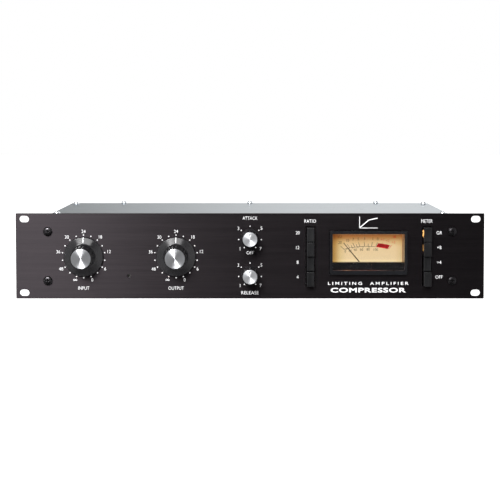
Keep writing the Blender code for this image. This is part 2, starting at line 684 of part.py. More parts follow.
def meter_needle(middle):
    """A hub with a tapering pointer and a short balance tail, lying at its rest angle."""
    tail, hub, width, tip = 0.0060, 0.0024, 0.0005, 0.00015
    outline = [(-width, -tail), (width, -tail), (width, 0)]
    outline += [(tip, NEEDLE_LENGTH), (-tip, NEEDLE_LENGTH), (-width, 0)]
    at = middle + Vector((0, NEEDLE_DEPTH, PIVOT_Z))
    needle = add_object("meter_needle", plate(outline, [], 0.0005), "needle_black", at)
    carve(needle, turned([(0, -0.0012), (hub, -0.0012), (hub, 0.0014), (0, 0.0014)], 20), "UNION")
    carve(needle, box((-0.0013, 0.0001, -tail - 0.0004), (0.0013, 0.0009, 0.0022 - tail)), "UNION")
    settled(needle).transform(Matrix.Rotation(NEEDLE_REST, 4, "Y"))


def meter_lamp(middle):
    """A small lamp behind the mask, lying level."""
    shape = turned([(0, -0.006), (0.0012, -0.0056), (0.0020, -0.0045), (0.0020, 0.006), (0, 0.006)], 16)
    across = Matrix.Rotation(math.radians(90), 3, "Z")
    bmesh.ops.rotate(shape, cent=(0, 0, 0), matrix=across, verts=shape.verts)
    add_object("meter_lamp", shape, "clear_window", middle + Vector((-0.020, 0.0130, -0.0135)))


# ---- Inside ----
def main_board():
    holes = [circle(spot, 0.0016, 12) for spot in BOARD_POSTS]
    sheet = front_up(plate(rectangle(BOARD_AT, *BOARD_SIZE), holes, 0.0016))
    add_object("main_board", sheet, "board_green", place(0, 0, BOARD_Z))


def transformer(name, x, depth, width, length, height):
    """A laminated core with its winding showing at front and back, on a foot plate."""
    floor = -COVER_TOP + SHEET + GAP
    core = box((-width / 2, -length / 4, floor), (width / 2, length / 4, floor + height))
    obj = add_object(name, core, "core_steel", place(x, depth, 0))
    reach, low, high = width * 0.30, floor + height * 0.20, floor + height * 0.80
    winding = box((-reach, -length / 2, low), (reach, length / 2, high))
    corners = edges_along_y(winding)
    bmesh.ops.bevel(winding, geom=corners, offset=0.004, segments=2, profile=0.5, affect="EDGES")
    carve(obj, winding, "UNION")
    reach, deep = width * 0.65, length / 4 - 0.002
    carve(obj, box((-reach, -deep, floor), (reach, deep, floor + 0.0016)), "UNION")


# ---- Rear connectors ----
def mains_inlet():
    """A plug inlet with three blades, and the fuse drawer above it."""
    middle = place(INLET_X, CHASSIS_BACK + GAP, 0)
    half_width, half_height = INLET_WIDTH / 2, INLET_HEIGHT / 2
    body = box((-half_width, -INLET_DEPTH, -half_height), (half_width, 0.0005, half_height))
    inlet = add_object("mains_inlet", body, "connector_black", middle)
    carve(inlet, flange(0.0320, 0.0524), "UNION")
    mouth, floor = CONNECTOR_FLANGE + 0.001, CONNECTOR_FLANGE - PLUG_WELL[2]
    wells = ((*PLUG_WELL[:2], PLUG_WELL_Z, floor), (*DRAWER_SIZE[:2], DRAWER_Z, -DRAWER_SIZE[2]))
    for width, height, z, back in wells:
        carve(inlet, box((-width / 2, back, z - height / 2), (width / 2, mouth, z + height / 2)))
    for x, z in ((-0.0070, -0.0020), (0.0070, -0.0020), (0, 0.0020)):
        low = Vector((x - 0.0010, floor - 0.001, PLUG_WELL_Z + z - 0.0020))
        carve(inlet, box(low, low + Vector((0.0020, 0.0125, 0.0040))), "UNION")
    fuse_drawer(middle)


def fuse_drawer(middle):
    width, height, depth = (size - 2 * GAP for size in DRAWER_SIZE)
    low, high = DRAWER_Z - height / 2, DRAWER_Z + height / 2
    block = box((-width / 2, -depth, low), (width / 2, CONNECTOR_FLANGE + 0.0008, high))
    drawer = add_object("fuse_drawer", block, "connector_black", middle)
    reach = width / 2 - 0.0012
    carve(drawer, box((-reach, 0.0015 - depth, low + 0.0020), (reach, -0.0020, high + 0.001)))
    carve(drawer, box((-0.0040, CONNECTOR_FLANGE - 0.0012, low - 0.001), (0.0040, 0.004, low + 0.0022)))


def flange(width, height):
    """A connector's front plate, with round corners."""
    rim = box((-width / 2, 0, -height / 2), (width / 2, CONNECTOR_FLANGE, height / 2))
    bmesh.ops.bevel(rim, geom=edges_along_y(rim), offset=0.0028, segments=3, profile=0.5, affect="EDGES")
    return rim


def input_socket():
    """A three-hole line socket with a push latch over it."""
    middle = place(INPUT_SOCKET_X, CHASSIS_BACK + GAP, 0)
    shell, insert, floor, mouth = 0.0096, 0.0077, -0.0150, 0.0045
    barrel = [(0, -0.0180), (SOCKET_RADIUS, -0.0180), (SOCKET_RADIUS, mouth - 0.0006)]
    barrel += [(SOCKET_RADIUS - 0.0006, mouth), (0, mouth)]
    socket = add_object("input_socket", turned(barrel, 20), "connector_nickel", middle)
    carve(socket, flange(*SOCKET_FLANGE), "UNION")
    carve(socket, turned([(shell, floor), (insert, floor), (insert, 0.02), (shell, 0.02)], 20, ring=True))
    hole = [(0, -0.010), (0.0013, -0.010), (0.0013, 0.02), (0, 0.02)]
    carve(socket, join(*[shifted(turned(hole, 8), offset) for offset in contact_places()]))
    half_width, half_height = LATCH_WIDTH / 2, LATCH_HEIGHT / 2
    low = Vector((-half_width, -0.0060, LATCH_Z - half_height))
    high = Vector((half_width, 0.0052, LATCH_Z + half_height))
    around = Vector((GAP, 0.02, GAP))
    carve(socket, box(low - around, high + around))
    add_object("input_socket_latch", box(low, high), "connector_black", middle)


def contact_places():
    """The three contacts round the middle of a line connector."""
    ring = 0.0040
    turns = (math.radians(-105), 0, math.radians(105))
    return [(ring * math.sin(turn), 0, -ring * math.cos(turn)) for turn in turns]


def output_socket():
    """A three-pin line plug in a round shell."""
    middle = place(OUTPUT_SOCKET_X, CHASSIS_BACK + GAP, 0)
    shell, floor, mouth = 0.0097, -0.0150, 0.0040
    profile = [
        (0, -0.0170),
        (SOCKET_RADIUS, -0.0170),
        (SOCKET_RADIUS, mouth - 0.0006),
        (SOCKET_RADIUS - 0.0006, mouth),
        (shell, mouth),
        (shell, floor),
        (0, floor),
    ]
    socket = add_object("output_socket", turned(profile, 32), "connector_nickel", middle)
    carve(socket, flange(*SOCKET_FLANGE), "UNION")
    carve(socket, turned([(0, floor), (shell, floor), (shell, 0.02), (0, 0.02)], 32))
    pin = [(0, floor - 0.001), (0.00125, floor - 0.001), (0.00125, -0.0030), (0.0007, -0.0022), (0, -0.0022)]
    for offset in contact_places():
        carve(socket, shifted(turned(pin, 12), offset), "UNION")


def link_jack():
    """A single phono jack on a round flange."""
    end = BACK_OF_ALL - CHASSIS_BACK - GAP
    profile = [
        (0, -0.0100),
        (LINK_RADIUS, -0.0100),
        (LINK_RADIUS, 0),
        (0.0070, 0),
        (0.0070, 0.0016),
        (0.0042, 0.0016),
        (0.0042, end - 0.0004),
        (0.0038, end),
        (0.0032, end),
        (0.0032, end - 0.0006),
        (0.0017, end - 0.0006),
        (0.0017, 0.0020),
        (0, 0.0020),
    ]
    add_object("link_jack", turned(profile), "connector_nickel", place(LINK_X, CHASSIS_BACK + GAP, 0))


def terminal_strip():
    """A barrier strip: walls between the screw terminals, in one moulding."""
    wall, floor, top = 0.0016, 0.0040, BACK_OF_ALL - CHASSIS_BACK - GAP
    first = -STRIP_PITCH * (STRIP_POSTS - 1) / 2
    outline = [(first - wall / 2, 0)]
    for i in range(STRIP_POSTS):
        x = first + STRIP_PITCH * i
        outline += [(x - wall / 2, top), (x + wall / 2, top)]
        if i < STRIP_POSTS - 1:
            outline += [(x + wall / 2, floor), (x + STRIP_PITCH - wall / 2, floor)]
    outline += [(-first + wall / 2, 0)]
    strip = prism(outline, "Z", 0.022)
    add_object("terminal_strip", strip, "connector_black", place(STRIP_X, CHASSIS_BACK + GAP, 0))


def main():
    clear_scene()
    make_materials()
    front_panel()
    front_subpanel()
    chassis_tray()
    rear_panel()
    top_cover()
    panel_screws()
    cover_screws()
    for name, at in LEVEL_KNOBS.items():
        level_knob(name, at)
        potentiometer(name, at, 0.0150, 0.0220)
    for name, at in TIMING_KNOBS.items():
        timing_knob(name, at)
        potentiometer(name, at, 0.0120, 0.0140)
    zero_trimmer()
    for name, (x, keys) in BANKS.items():
        switch_bank(name, x, keys)
    meter_middle = place(METER_X, 0, 0)
    for piece in (meter_case, meter_window, meter_zero_screw, meter_dial, meter_needle, meter_lamp):
        piece(meter_middle)
    main_board()
    transformer("power_transformer", -0.160, 0.200, 0.062, 0.058, 0.052)
    transformer("output_transformer", 0.160, 0.200, 0.042, 0.040, 0.036)
    mains_inlet()
    terminal_strip()
    link_jack()
    input_socket()
    output_socket()
    for obj in [obj for obj in bpy.data.objects if obj.modifiers]:
        settled(obj)


main()
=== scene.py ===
# %% [markdown]
# # A rack compressor, finished for the camera
#
# The measured model of the unit comes first: every panel, knob, button and connector, already in
# its place and ready to move. This lesson gives each one its finish, models the pieces that want
# finer shapes, and prints the scales and lettering. Lengths are metres, +Z is up and the front
# panel faces -Y.

# %% Load the measured model
import json
import math

import bpy
from mathutils import Matrix, Vector

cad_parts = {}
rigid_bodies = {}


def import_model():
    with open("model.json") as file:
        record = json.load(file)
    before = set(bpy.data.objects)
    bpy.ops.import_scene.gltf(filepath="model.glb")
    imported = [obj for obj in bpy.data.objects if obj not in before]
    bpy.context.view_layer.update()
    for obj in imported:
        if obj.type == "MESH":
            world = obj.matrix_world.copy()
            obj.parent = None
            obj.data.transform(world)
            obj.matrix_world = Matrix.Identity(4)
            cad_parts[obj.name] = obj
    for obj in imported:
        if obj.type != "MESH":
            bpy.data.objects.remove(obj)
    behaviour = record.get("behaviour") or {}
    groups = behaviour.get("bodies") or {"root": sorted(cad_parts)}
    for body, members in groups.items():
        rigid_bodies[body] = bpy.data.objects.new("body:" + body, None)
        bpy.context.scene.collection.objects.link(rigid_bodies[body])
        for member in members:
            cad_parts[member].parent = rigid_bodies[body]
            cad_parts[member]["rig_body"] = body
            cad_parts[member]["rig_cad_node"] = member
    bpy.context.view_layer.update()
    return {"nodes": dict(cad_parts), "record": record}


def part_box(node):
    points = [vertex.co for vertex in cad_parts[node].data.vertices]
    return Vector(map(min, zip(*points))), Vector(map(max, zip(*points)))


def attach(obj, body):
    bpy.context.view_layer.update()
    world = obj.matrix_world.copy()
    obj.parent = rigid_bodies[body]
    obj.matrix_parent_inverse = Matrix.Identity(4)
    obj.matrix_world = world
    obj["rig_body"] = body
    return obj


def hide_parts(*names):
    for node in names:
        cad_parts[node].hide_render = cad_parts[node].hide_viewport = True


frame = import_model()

NODES = frame["nodes"]

# %% [markdown]
# ## The places everything is measured from
#
# A front panel is drawn on a sheet of paper before it is cut, so its own middle is the handiest
# zero. `spot` turns a place on that drawing, and a depth behind the panel's face, into a point in
# the scene. Knob, button and meter places are read off the measured model, never typed twice.

# %% Panel drawing
PANEL_LOW, PANEL_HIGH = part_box("front_panel")
FACE_Y = PANEL_LOW.y
MIDDLE_Z = (PANEL_LOW.z + PANEL_HIGH.z) / 2
INK = 0.00004  # thickness of printed ink


def spot(x, height, depth=0.0):
    """A point this far right of the panel's middle, above it, and behind its face."""
    return Vector((x, FACE_Y + depth, MIDDLE_Z + height))


def on_drawing(node):
    """The middle of a node as (x, height) on the panel's drawing."""
    low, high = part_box(node)
    return (low.x + high.x) / 2, (low.z + high.z) / 2 - MIDDLE_Z


print("panel", [round(side * 1000, 1) for side in PANEL_HIGH - PANEL_LOW], "mm")

# %% [markdown]
# ## Two small habits
#
# Blender's operators act on whatever is selected, and loading leaves everything selected, so every
# step starts from an empty selection. A finished piece then gets its name, its material and the
# moving body it rides on, all in one place, so nothing is forgotten.


# %% Start and finish a piece
def fresh():
    """Object mode, with nothing selected."""
    if bpy.context.mode != "OBJECT":
        bpy.ops.object.mode_set(mode="OBJECT")
    bpy.ops.object.select_all(action="DESELECT")


def edit(part="VERT"):
    """Edit mode on the active object, with nothing selected."""
    bpy.ops.object.mode_set(mode="EDIT")
    bpy.ops.mesh.select_mode(type=part)
    bpy.ops.mesh.select_all(action="DESELECT")


def pick(test, part="faces"):
    """Selects the vertices, edges or faces that pass a test, from object mode, and returns how many."""
    obj = bpy.context.object
    bpy.ops.object.mode_set(mode="OBJECT")
    mesh = obj.data
    for group in (mesh.vertices, mesh.edges, mesh.polygons):
        group.foreach_set("select", [False] * len(group))
    items = {"verts": mesh.vertices, "edges": mesh.edges, "faces": mesh.polygons}[part]
    count = 0
    for item in items:
        item.select = bool(test(item))
        count += item.select
    bpy.ops.object.mode_set(mode="EDIT")
    return count


def only(obj):
    """Makes this the one selected and active object."""
    fresh()
    obj.select_set(True)
    bpy.context.view_layer.objects.active = obj
    return obj


def ready(obj, name, body, slot, *materials):
    """Names a piece, settles its place into its mesh, paints it, and lets it ride on its body."""
    only(obj)
    bpy.ops.object.transform_apply(location=True, rotation=True, scale=True)
    obj.name = obj.data.name = name
    if materials:
        obj.data.materials.clear()
    for material in materials:
        obj.data.materials.append(material)
    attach(obj, body)
    return obj


def modify(obj, kind, **settings):
    """Adds a modifier and applies it."""
    only(obj)
    modifier = obj.modifiers.new(kind.title(), kind)
    for key, value in settings.items():
        setattr(modifier, key, value)
    bpy.ops.object.modifier_apply(modifier=modifier.name)
    return obj


def smooth(obj, angle=30):
    """Shades a piece smooth across its eased edges while its big flat faces stay truly flat."""
    only(obj)
    bpy.ops.object.shade_smooth_by_angle(angle=math.radians(angle))
    return modify(obj, "WEIGHTED_NORMAL", mode="FACE_AREA", weight=50, keep_sharp=True)


def clean(obj, angle=30):
    """Merges doubles, points the faces outwards and shades the piece."""
    only(obj)
    bpy.ops.object.mode_set(mode="EDIT")
    bpy.ops.mesh.select_all(action="SELECT")
    bpy.ops.mesh.remove_doubles(threshold=1e-6)
    bpy.ops.mesh.normals_make_consistent(inside=False)
    bpy.ops.object.mode_set(mode="OBJECT")
    return smooth(obj, angle)


fresh()
print("nothing selected:", not bpy.context.selected_objects)

# %% [markdown]
# ## How the finishes are made
#
# Every finish is a small node tree on Blender's Principled shader. The numbers that are the same
# all over go straight onto the shader's own sockets. What changes over the surface, such as
# brushing and specks, comes from noise read in the object's own coordinates, which are true
# metres here because every piece sits at the scene's origin. A Mapping node squeezes that noise in
# one direction to turn dots into brush lines.


# %% Material helpers
class Finish:
    """A material with a Principled shader, and short ways to add nodes to it."""

    def __init__(self, name, colour, roughness, metallic=0.0, **sockets):
        self.material = bpy.data.materials.new(name)
        self.material.use_nodes = True
        self.tree = self.material.node_tree
        self.shader = self.tree.nodes["Principled BSDF"]
        self.put("Base Color", (*colour, 1))
        self.put("Roughness", roughness)
        self.put("Metallic", metallic)
        for key, value in sockets.items():
            self.put(key.replace("_", " ").replace("Ior", "IOR"), value)

    def put(self, socket, value):
        self.shader.inputs[socket].default_value = value

    def node(self, kind, inputs=None, **settings):
        """A node with its settings made and its inputs linked or given values."""
        made = self.tree.nodes.new("ShaderNode" + kind)
        for key, value in settings.items():
            setattr(made, key, value)
        for key, value in (inputs or {}).items():
            if isinstance(value, bpy.types.NodeSocket):
                self.tree.links.new(value, made.inputs[key])
            else:
                made.inputs[key].default_value = value
        return made

    def place(self, stretch=(1, 1, 1), centre=(0, 0, 0)):
        """Object coordinates, centred and then stretched."""
        source = self.node("TexCoord").outputs["Object"]
        moved = self.node("Mapping", {"Vector": source, "Location": [-c for c in centre]})
        return self.node("Mapping", {"Vector": moved.outputs[0], "Scale": stretch}).outputs[0]

    def noise(self, vector, scale, detail=2.0, roughness=0.5):
        inputs = {"Vector": vector, "Scale": scale, "Detail": detail, "Roughness": roughness}
        return self.node("TexNoise", inputs).outputs["Fac"]

    def ramp(self, value, *stops):
        """A colour or grey ramp from (position, colour) stops."""
        made = self.node("ValToRGB", {"Fac": value})
        band = made.color_ramp.elements
        while len(band) < len(stops):
            band.new(1.0)
        for element, (position, colour) in zip(band, stops):
            element.position = position
            grey = isinstance(colour, (int, float))
            element.color = (colour, colour, colour, 1) if grey else (*colour, 1)
        return made.outputs["Color"]

    def mix(self, factor, first, second, blend="MIX"):
        made = self.node("Mix", data_type="RGBA", blend_type=blend)
        for index, value in ((0, factor), (6, first), (7, second)):
            if isinstance(value, bpy.types.NodeSocket):
                self.tree.links.new(value, made.inputs[index])
            else:
                made.inputs[index].default_value = value
        return made.outputs[2]

    def link(self, socket, source):
        self.tree.links.new(source, self.shader.inputs[socket])

    def bump(self, height, strength, distance):
        inputs = {"Height": height, "Strength": strength, "Distance": distance}
        self.link("Normal", self.node("Bump", inputs).outputs["Normal"])


print("finish helpers ready")

# %% [markdown]
# ## Black anodised aluminium
#
# The panel is brushed along its length, then dyed black and sealed. Brushing is thousands of long,
# fine scratches, so the noise is squeezed hard along X: one layer for the fine lines and one for
# the broad streaks. They tint the dye a little, change how rough the surface is, and lift it by
# microns, which is what smears reflections up and down. A real anodised dye is slightly warm.

# %% Anodised panel
anodised = Finish("black_anodised", (0.023, 0.019, 0.0215), 0.44, 0.9, Anisotropic=0.92)
fine = anodised.noise(anodised.place((14, 1, 900)), 3.0, 3.0, 0.6)
broad = anodised.noise(anodised.place((3, 1, 120)), 2.0, 2.0)
lines = anodised.mix(0.45, fine, broad)
shade = anodised.ramp(lines, (0.30, (0.018, 0.0150, 0.0172)), (0.70, (0.028, 0.0235, 0.0262)))
anodised.link("Base Color", shade)
anodised.link("Roughness", anodised.ramp(lines, (0.25, 0.40), (0.75, 0.48)))
anodised.bump(fine, 0.2, 0.00001)
across = anodised.node("Tangent", direction_type="UV_MAP", uv_map="grain").outputs["Tangent"]
anodised.link("Tangent", across)
print(anodised.material.name)

# %% [markdown]
# ## Zinc-plated sheet
#
# The chassis is bare plated steel, grey-blue and satin. Plating shows soft clouds where the
# crystals grew a little differently, and a faint rolled grain.

# %% Zinc sheet
zinc = Finish("zinc_plate", (0.46, 0.51, 0.54), 0.34, 1.0)
clouds = zinc.noise(zinc.place((1, 1, 1)), 22.0, 4.0, 0.6)
rolled = zinc.noise(zinc.place((6, 260, 260)), 2.0, 2.0)
zinc.link("Base Color", zinc.ramp(clouds, (0.3, (0.41, 0.46, 0.49)), (0.7, (0.51, 0.56, 0.59))))
zinc.link("Roughness", zinc.ramp(zinc.mix(0.4, clouds, rolled), (0.3, 0.26), (0.7, 0.36)))
zinc.bump(rolled, 0.15, 0.00002)
print(zinc.material.name)

# %% [markdown]
# ## The small metals
#
# Four more metals: blackened steel for the panel's screws, bright zinc for the lid's, nickel for
# the line connectors and plain turned steel for the shafts. They differ in colour and polish, so
# one function makes them all, with specks that keep the highlights from being perfect.


# %% Screws, nickel and steel
def speckled_metal(name, colour, roughness, spread, size=900.0):
    """A metal whose polish changes over small specks."""
    made = Finish(name, colour, roughness, 1.0)
    specks = made.noise(made.place(), size, 3.0, 0.6)
    dark = tuple(0.82 * channel for channel in colour)
    made.link("Base Color", made.ramp(specks, (0.35, dark), (0.65, colour)))
    made.link("Roughness", made.ramp(specks, (0.3, roughness - spread), (0.7, roughness + spread)))
    made.bump(specks, 0.08, 0.00001)
    return made


black_screw = speckled_metal("blackened_steel", (0.060, 0.057, 0.061), 0.28, 0.06)
bright_screw = speckled_metal("bright_zinc", (0.84, 0.87, 0.90), 0.30, 0.06)
nickel = speckled_metal("nickel_plate", (0.62, 0.61, 0.58), 0.24, 0.06)
steel = speckled_metal("turned_steel", (0.55, 0.55, 0.55), 0.30, 0.08)
print("four small metals")

# %% [markdown]
# ## Spun aluminium
#
# The knob caps are faced on a lathe, which leaves fine rings. Rings reflect a light as two bright
# fans, above and below, and that look is what anisotropy gives: a highlight stretched across the
# rings. The shader has to know which way the rings run, so each cap carries a UV map in polar
# form, radius one way and angle the other, and the tangent follows it. The rings themselves are a
# noise that only changes with the radius. The timing knobs' caps are cut finer and spread a light
# more softly, so there are two metals.

# %% Cap metal
def spun_metal(name, roughness, anisotropy):
    """Aluminium with lathe rings, read from the cap's own polar map."""
    made = Finish(name, (0.86, 0.87, 0.90), roughness, 1.0, Anisotropic=anisotropy)
    polar = made.node("UVMap", uv_map="polar").outputs["UV"]
    radius = made.node("SeparateXYZ", {"Vector": polar}).outputs["X"]
    lathe = made.node("TexNoise", {"W": radius, "Scale": 260.0, "Detail": 3.0}, noise_dimensions="1D")
    rings = lathe.outputs["Fac"]
    made.link("Base Color", made.ramp(rings, (0.3, (0.75, 0.76, 0.79)), (0.7, (0.88, 0.89, 0.92))))
    made.link("Roughness", made.ramp(rings, (0.3, roughness - 0.04), (0.7, roughness + 0.04)))
    tangent = made.node("Tangent", direction_type="UV_MAP", uv_map="polar").outputs["Tangent"]
    made.link("Tangent", tangent)
    return made


spun = spun_metal("spun_aluminium", 0.37, 0.88)
fine_spun = spun_metal("fine_spun_aluminium", 0.48, 0.65)
print("two spun metals")

# %% [markdown]
# ## Moulded blacks
#
# Three mouldings, three gloss levels: knobs are shiny, buttons and the meter's case are satin, the
# rear connectors are dull. A mould never gives perfect gloss, so each has a very fine texture and
# a little haze.


# %% Plastics
def moulded(name, colour, roughness, spread, grain, depth):
    """A moulded plastic with a fine mould texture and uneven gloss."""
    made = Finish(name, colour, roughness, 0.0, Specular_IOR_Level=0.5)
    texture = made.noise(made.place(), grain, 2.0)
    haze = made.noise(made.place(), 60.0, 3.0)
    made.link("Roughness", made.ramp(haze, (0.3, roughness - spread), (0.7, roughness + spread)))
    light = tuple(1.5 * channel for channel in colour)
    made.link("Base Color", made.ramp(haze, (0.3, colour), (0.8, light)))
    made.bump(texture, 0.12, depth)
    return made


knob_black = moulded("knob_plastic", (0.011, 0.0105, 0.0115), 0.17, 0.03, 2500.0, 0.00001)
button_black = moulded("button_plastic", (0.0036, 0.0036, 0.0042), 0.34, 0.05, 2500.0, 0.00002)
meter_black = moulded("meter_case_plastic", (0.0045, 0.0048, 0.0060), 0.24, 0.04, 1800.0, 0.00002)
socket_black = moulded("socket_plastic", (0.014, 0.014, 0.015), 0.42, 0.06, 1400.0, 0.00003)
print("four mouldings")

# %% [markdown]
# ## Printing inks
#
# The scales are screen-printed in white, and the meter's dial in black and red. Ink is matt and
# goes on a little thick and thin, so its colour and its edges of gloss vary.


# %% Inks
def ink(name, colour, thin):
    made = Finish(name, colour, 0.55)
    cover = made.noise(made.place(), 1500.0, 2.0)
    made.link("Base Color", made.ramp(cover, (0.25, thin), (0.55, colour)))
    made.link("Roughness", made.ramp(cover, (0.3, 0.48), (0.7, 0.62)))
    return made


white_ink = ink("white_ink", (0.82, 0.82, 0.83), (0.72, 0.72, 0.73))
black_ink = ink("black_ink", (0.07, 0.028, 0.010), (0.11, 0.050, 0.020))
red_ink = ink("red_ink", (0.70, 0.004, 0.010), (0.56, 0.005, 0.010))
# The red ink glows faintly: painted light, standing for the meter's lamp shining on the dial's print.
red_ink.put("Emission Color", (0.50, 0.003, 0.006, 1))
red_ink.put("Emission Strength", 0.3)
print("three inks")

# %% [markdown]
# ## Refining what the measured model already has
#
# The model's own pieces have the right shape, but they come as loose triangles with knife edges. A
# good way to finish one is to copy it, merge its doubles, dissolve the flat parts back into whole
# faces and ease the sharp edges with a Bevel modifier. An eased edge catches a thin line of light,
# which is most of what makes metal and plastic look real. The copy then stands for the original.

# %% Refine a node
SLOTS = {row["node"]: row["material_slot"] for row in frame["record"]["subparts"]}


def refined(node, finish, ease=0.0, segments=2, angle=30):
    """A merged, eased and smoothed copy that stands for a node and rides where it rides."""
    only(NODES[node])
    bpy.ops.object.duplicate()
    obj = bpy.context.object
    body = obj["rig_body"]
    del obj["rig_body"], obj["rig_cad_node"]
    bpy.ops.object.mode_set(mode="EDIT")
    bpy.ops.mesh.select_all(action="SELECT")
    bpy.ops.mesh.remove_doubles(threshold=1e-6)
    bpy.ops.mesh.dissolve_limited(angle_limit=math.radians(0.5))
    bpy.ops.object.mode_set(mode="OBJECT")
    if ease:
        limit = math.radians(angle)
        modify(obj, "BEVEL", width=ease, segments=segments, angle_limit=limit, use_clamp_overlap=True)
    smooth(obj, angle)
    ready(obj, node + "_finished", body, SLOTS[node], finish.material)
    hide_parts(node)
    return obj


def grain_map(obj):
    """A UV map whose first direction runs up the panel, across the brushing."""
    layer = obj.data.uv_layers.new(name="grain")
    for loop in obj.data.loops:
        co = obj.data.vertices[loop.vertex_index].co
        layer.data[loop.index].uv = (co.z, co.x)


panel = refined("front_panel", anodised, 0.00015)
grain_map(panel)
print(panel.name, len(panel.data.polygons), "faces")

# %% [markdown]
# ## The chassis and its screws
#
# Folded sheet has a small round along every edge, so the sheets get a fine ease. The screws are
# domed with a cross recess; the seven on the lid are bright and the four on the panel are black.

# %% Sheets and screws
for sheet in ("front_subpanel", "chassis_tray", "rear_panel", "top_cover"):
    refined(sheet, zinc, 0.0002)
for node in NODES:
    if node.startswith("cover_screw"):
        refined(node, bright_screw, 0.00012)
    if node.startswith("panel_screw"):
        refined(node, black_screw, 0.00015)
print("chassis and screws finished")

# %% [markdown]
# ## Turning a profile
#
# Knobs are turned shapes. One way to make them is to spin a profile; another, used here, is to
# start from a circle and extrude its edge loop step by step, resizing it each time, the way a
# potter opens a pot. Every step is one extrude and one resize about the knob's own axis, and the
# two ends are filled. It keeps clean rows of faces, which the flutes need later.


# %% Turn
def turned(profile, at, sides=96):
    """A closed piece turned about the line through a place on the drawing, from (radius, depth)."""
    radius, depth = profile[0]
    fresh()
    turn = (math.pi / 2, 0, 0)
    bpy.ops.mesh.primitive_circle_add(
        vertices=sides, radius=radius, fill_type="NGON", location=spot(*at, depth), rotation=turn
    )
    obj = bpy.context.object
    bpy.ops.object.transform_apply(location=True, rotation=True, scale=True)
    edit("EDGE")
    bpy.ops.mesh.select_all(action="SELECT")
    bpy.ops.mesh.region_to_loop()
    for next_radius, next_depth in profile[1:]:
        step = {"value": (0, next_depth - depth, 0)}
        bpy.ops.mesh.extrude_edges_move(TRANSFORM_OT_translate=step)
        ratio = next_radius / radius
        middle = spot(*at, next_depth)
        bpy.ops.transform.resize(value=(ratio, 1, ratio), center_override=middle)
        radius, depth = next_radius, next_depth
    bpy.ops.mesh.edge_face_add()
    return clean(obj)


def around(obj, at):
    """Each vertex of a piece with its radius and its clockwise angle from the top of a place."""
    centre = spot(*at)
    for vertex in obj.data.vertices:
        x, z = vertex.co.x - centre.x, vertex.co.z - centre.z
        yield vertex, math.hypot(x, z), math.atan2(x, z)


print("ready to turn")

# %% [markdown]
# ## The two level knobs
#
# A level knob is a glossy moulding with three parts to its shape: a skirt like a shallow cone, a
# small collar, and a tapered grip with sixteen flutes for the fingers. The grip is turned plain
# and then the columns of vertices that lie in a flute are drawn in towards the axis, deepest in
# the middle of the groove. A white line on the skirt points at the scale.

# %% Level knobs
LEVEL_PROFILE = [
    (0.0102, -0.0258), (0.0104, -0.0258), (0.0104, -0.02668), (0.01046, -0.02680), (0.01085, -0.02680),
    (0.01105, -0.02660), (0.01112, -0.02620), (0.01150, -0.0205), (0.01190, -0.0140), (0.01245, -0.0079),
    (0.01255, -0.0072), (0.01275, -0.0067), (0.01300, -0.0064), (0.01330, -0.0062), (0.01370, -0.0060),
    (0.01940, -0.0038), (0.01975, -0.0036), (0.02010, -0.0032), (0.02032, -0.0027), (0.02040, -0.0020),
    (0.02040, -0.0012), (0.02020, -0.0008),
    (0.0180, -0.0008), (0.0180, -0.0024), (0.0062, -0.0024), (0.0062, -0.0024 + 0.0010),
]
FLUTES = 16
GRIP_BACK = FACE_Y - 0.0075


def flute(obj, at, depth):
    """Draws grooves into a turned grip, each one a round hollow."""
    sector = math.tau / FLUTES
    for part, share in ((0.08, 1.0), (0.20, 0.72), (0.30, 0.28)):
        groove = {
            vertex.index
            for vertex, radius, turn in around(obj, at)
            if vertex.co.y < GRIP_BACK and 0.0108 < radius < 0.0126
            and abs(abs(math.remainder(turn, sector)) / sector - part) < 0.045 + 0.04 * (part < 0.1)
        }
        only(obj)
        pick(lambda vertex, groove=groove: vertex.index in groove, "verts")
        ratio = 1 - depth * share / 0.0116
        bpy.ops.transform.resize(value=(ratio, 1, ratio), center_override=spot(*at))
        bpy.ops.object.mode_set(mode="OBJECT")


def pointer(name, at, inner, outer, body):
    """A printed line up the slope of a skirt, given its ends as (radius, depth)."""
    length = math.dist(inner, outer)
    lean = -math.atan2(outer[1] - inner[1], outer[0] - inner[0])
    height = at[1] + (inner[0] + outer[0]) / 2
    depth = (inner[1] + outer[1]) / 2 - INK
    fresh()
    bpy.ops.mesh.primitive_cube_add(
        size=1, location=spot(at[0], height, depth), rotation=(lean, 0, 0), scale=(0.0010, 0.00016, length)
    )
    obj = bpy.context.object
    bpy.ops.object.transform_apply(location=True, rotation=True, scale=True)
    edit()
    bpy.ops.mesh.select_all(action="SELECT")
    bpy.ops.mesh.bevel(offset=0.00004, segments=2)
    bpy.ops.object.mode_set(mode="OBJECT")
    return ready(clean(obj), name, body, "knob_black", white_ink.material)


for level in ("input", "output"):
    at = on_drawing(level + "_knob")
    knob = turned(LEVEL_PROFILE, at, 128)
    flute(knob, at, 0.0009)
    clean(knob, 32)
    ready(knob, level + "_knob_body", level + "_control", "knob_black", knob_black.material)
    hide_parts(level + "_knob")
    pointer(level + "_pointer", at, (0.01395, -0.00575), (0.0199, -0.00368), level + "_control")
print("two fluted knobs")

# %% [markdown]
# ## The two timing knobs
#
# The timing knobs are small: a plain grip on a low skirt, almost hidden behind its cap. They are
# turned the same way. They carry no printed line: a dimple in the cap shows where they point.

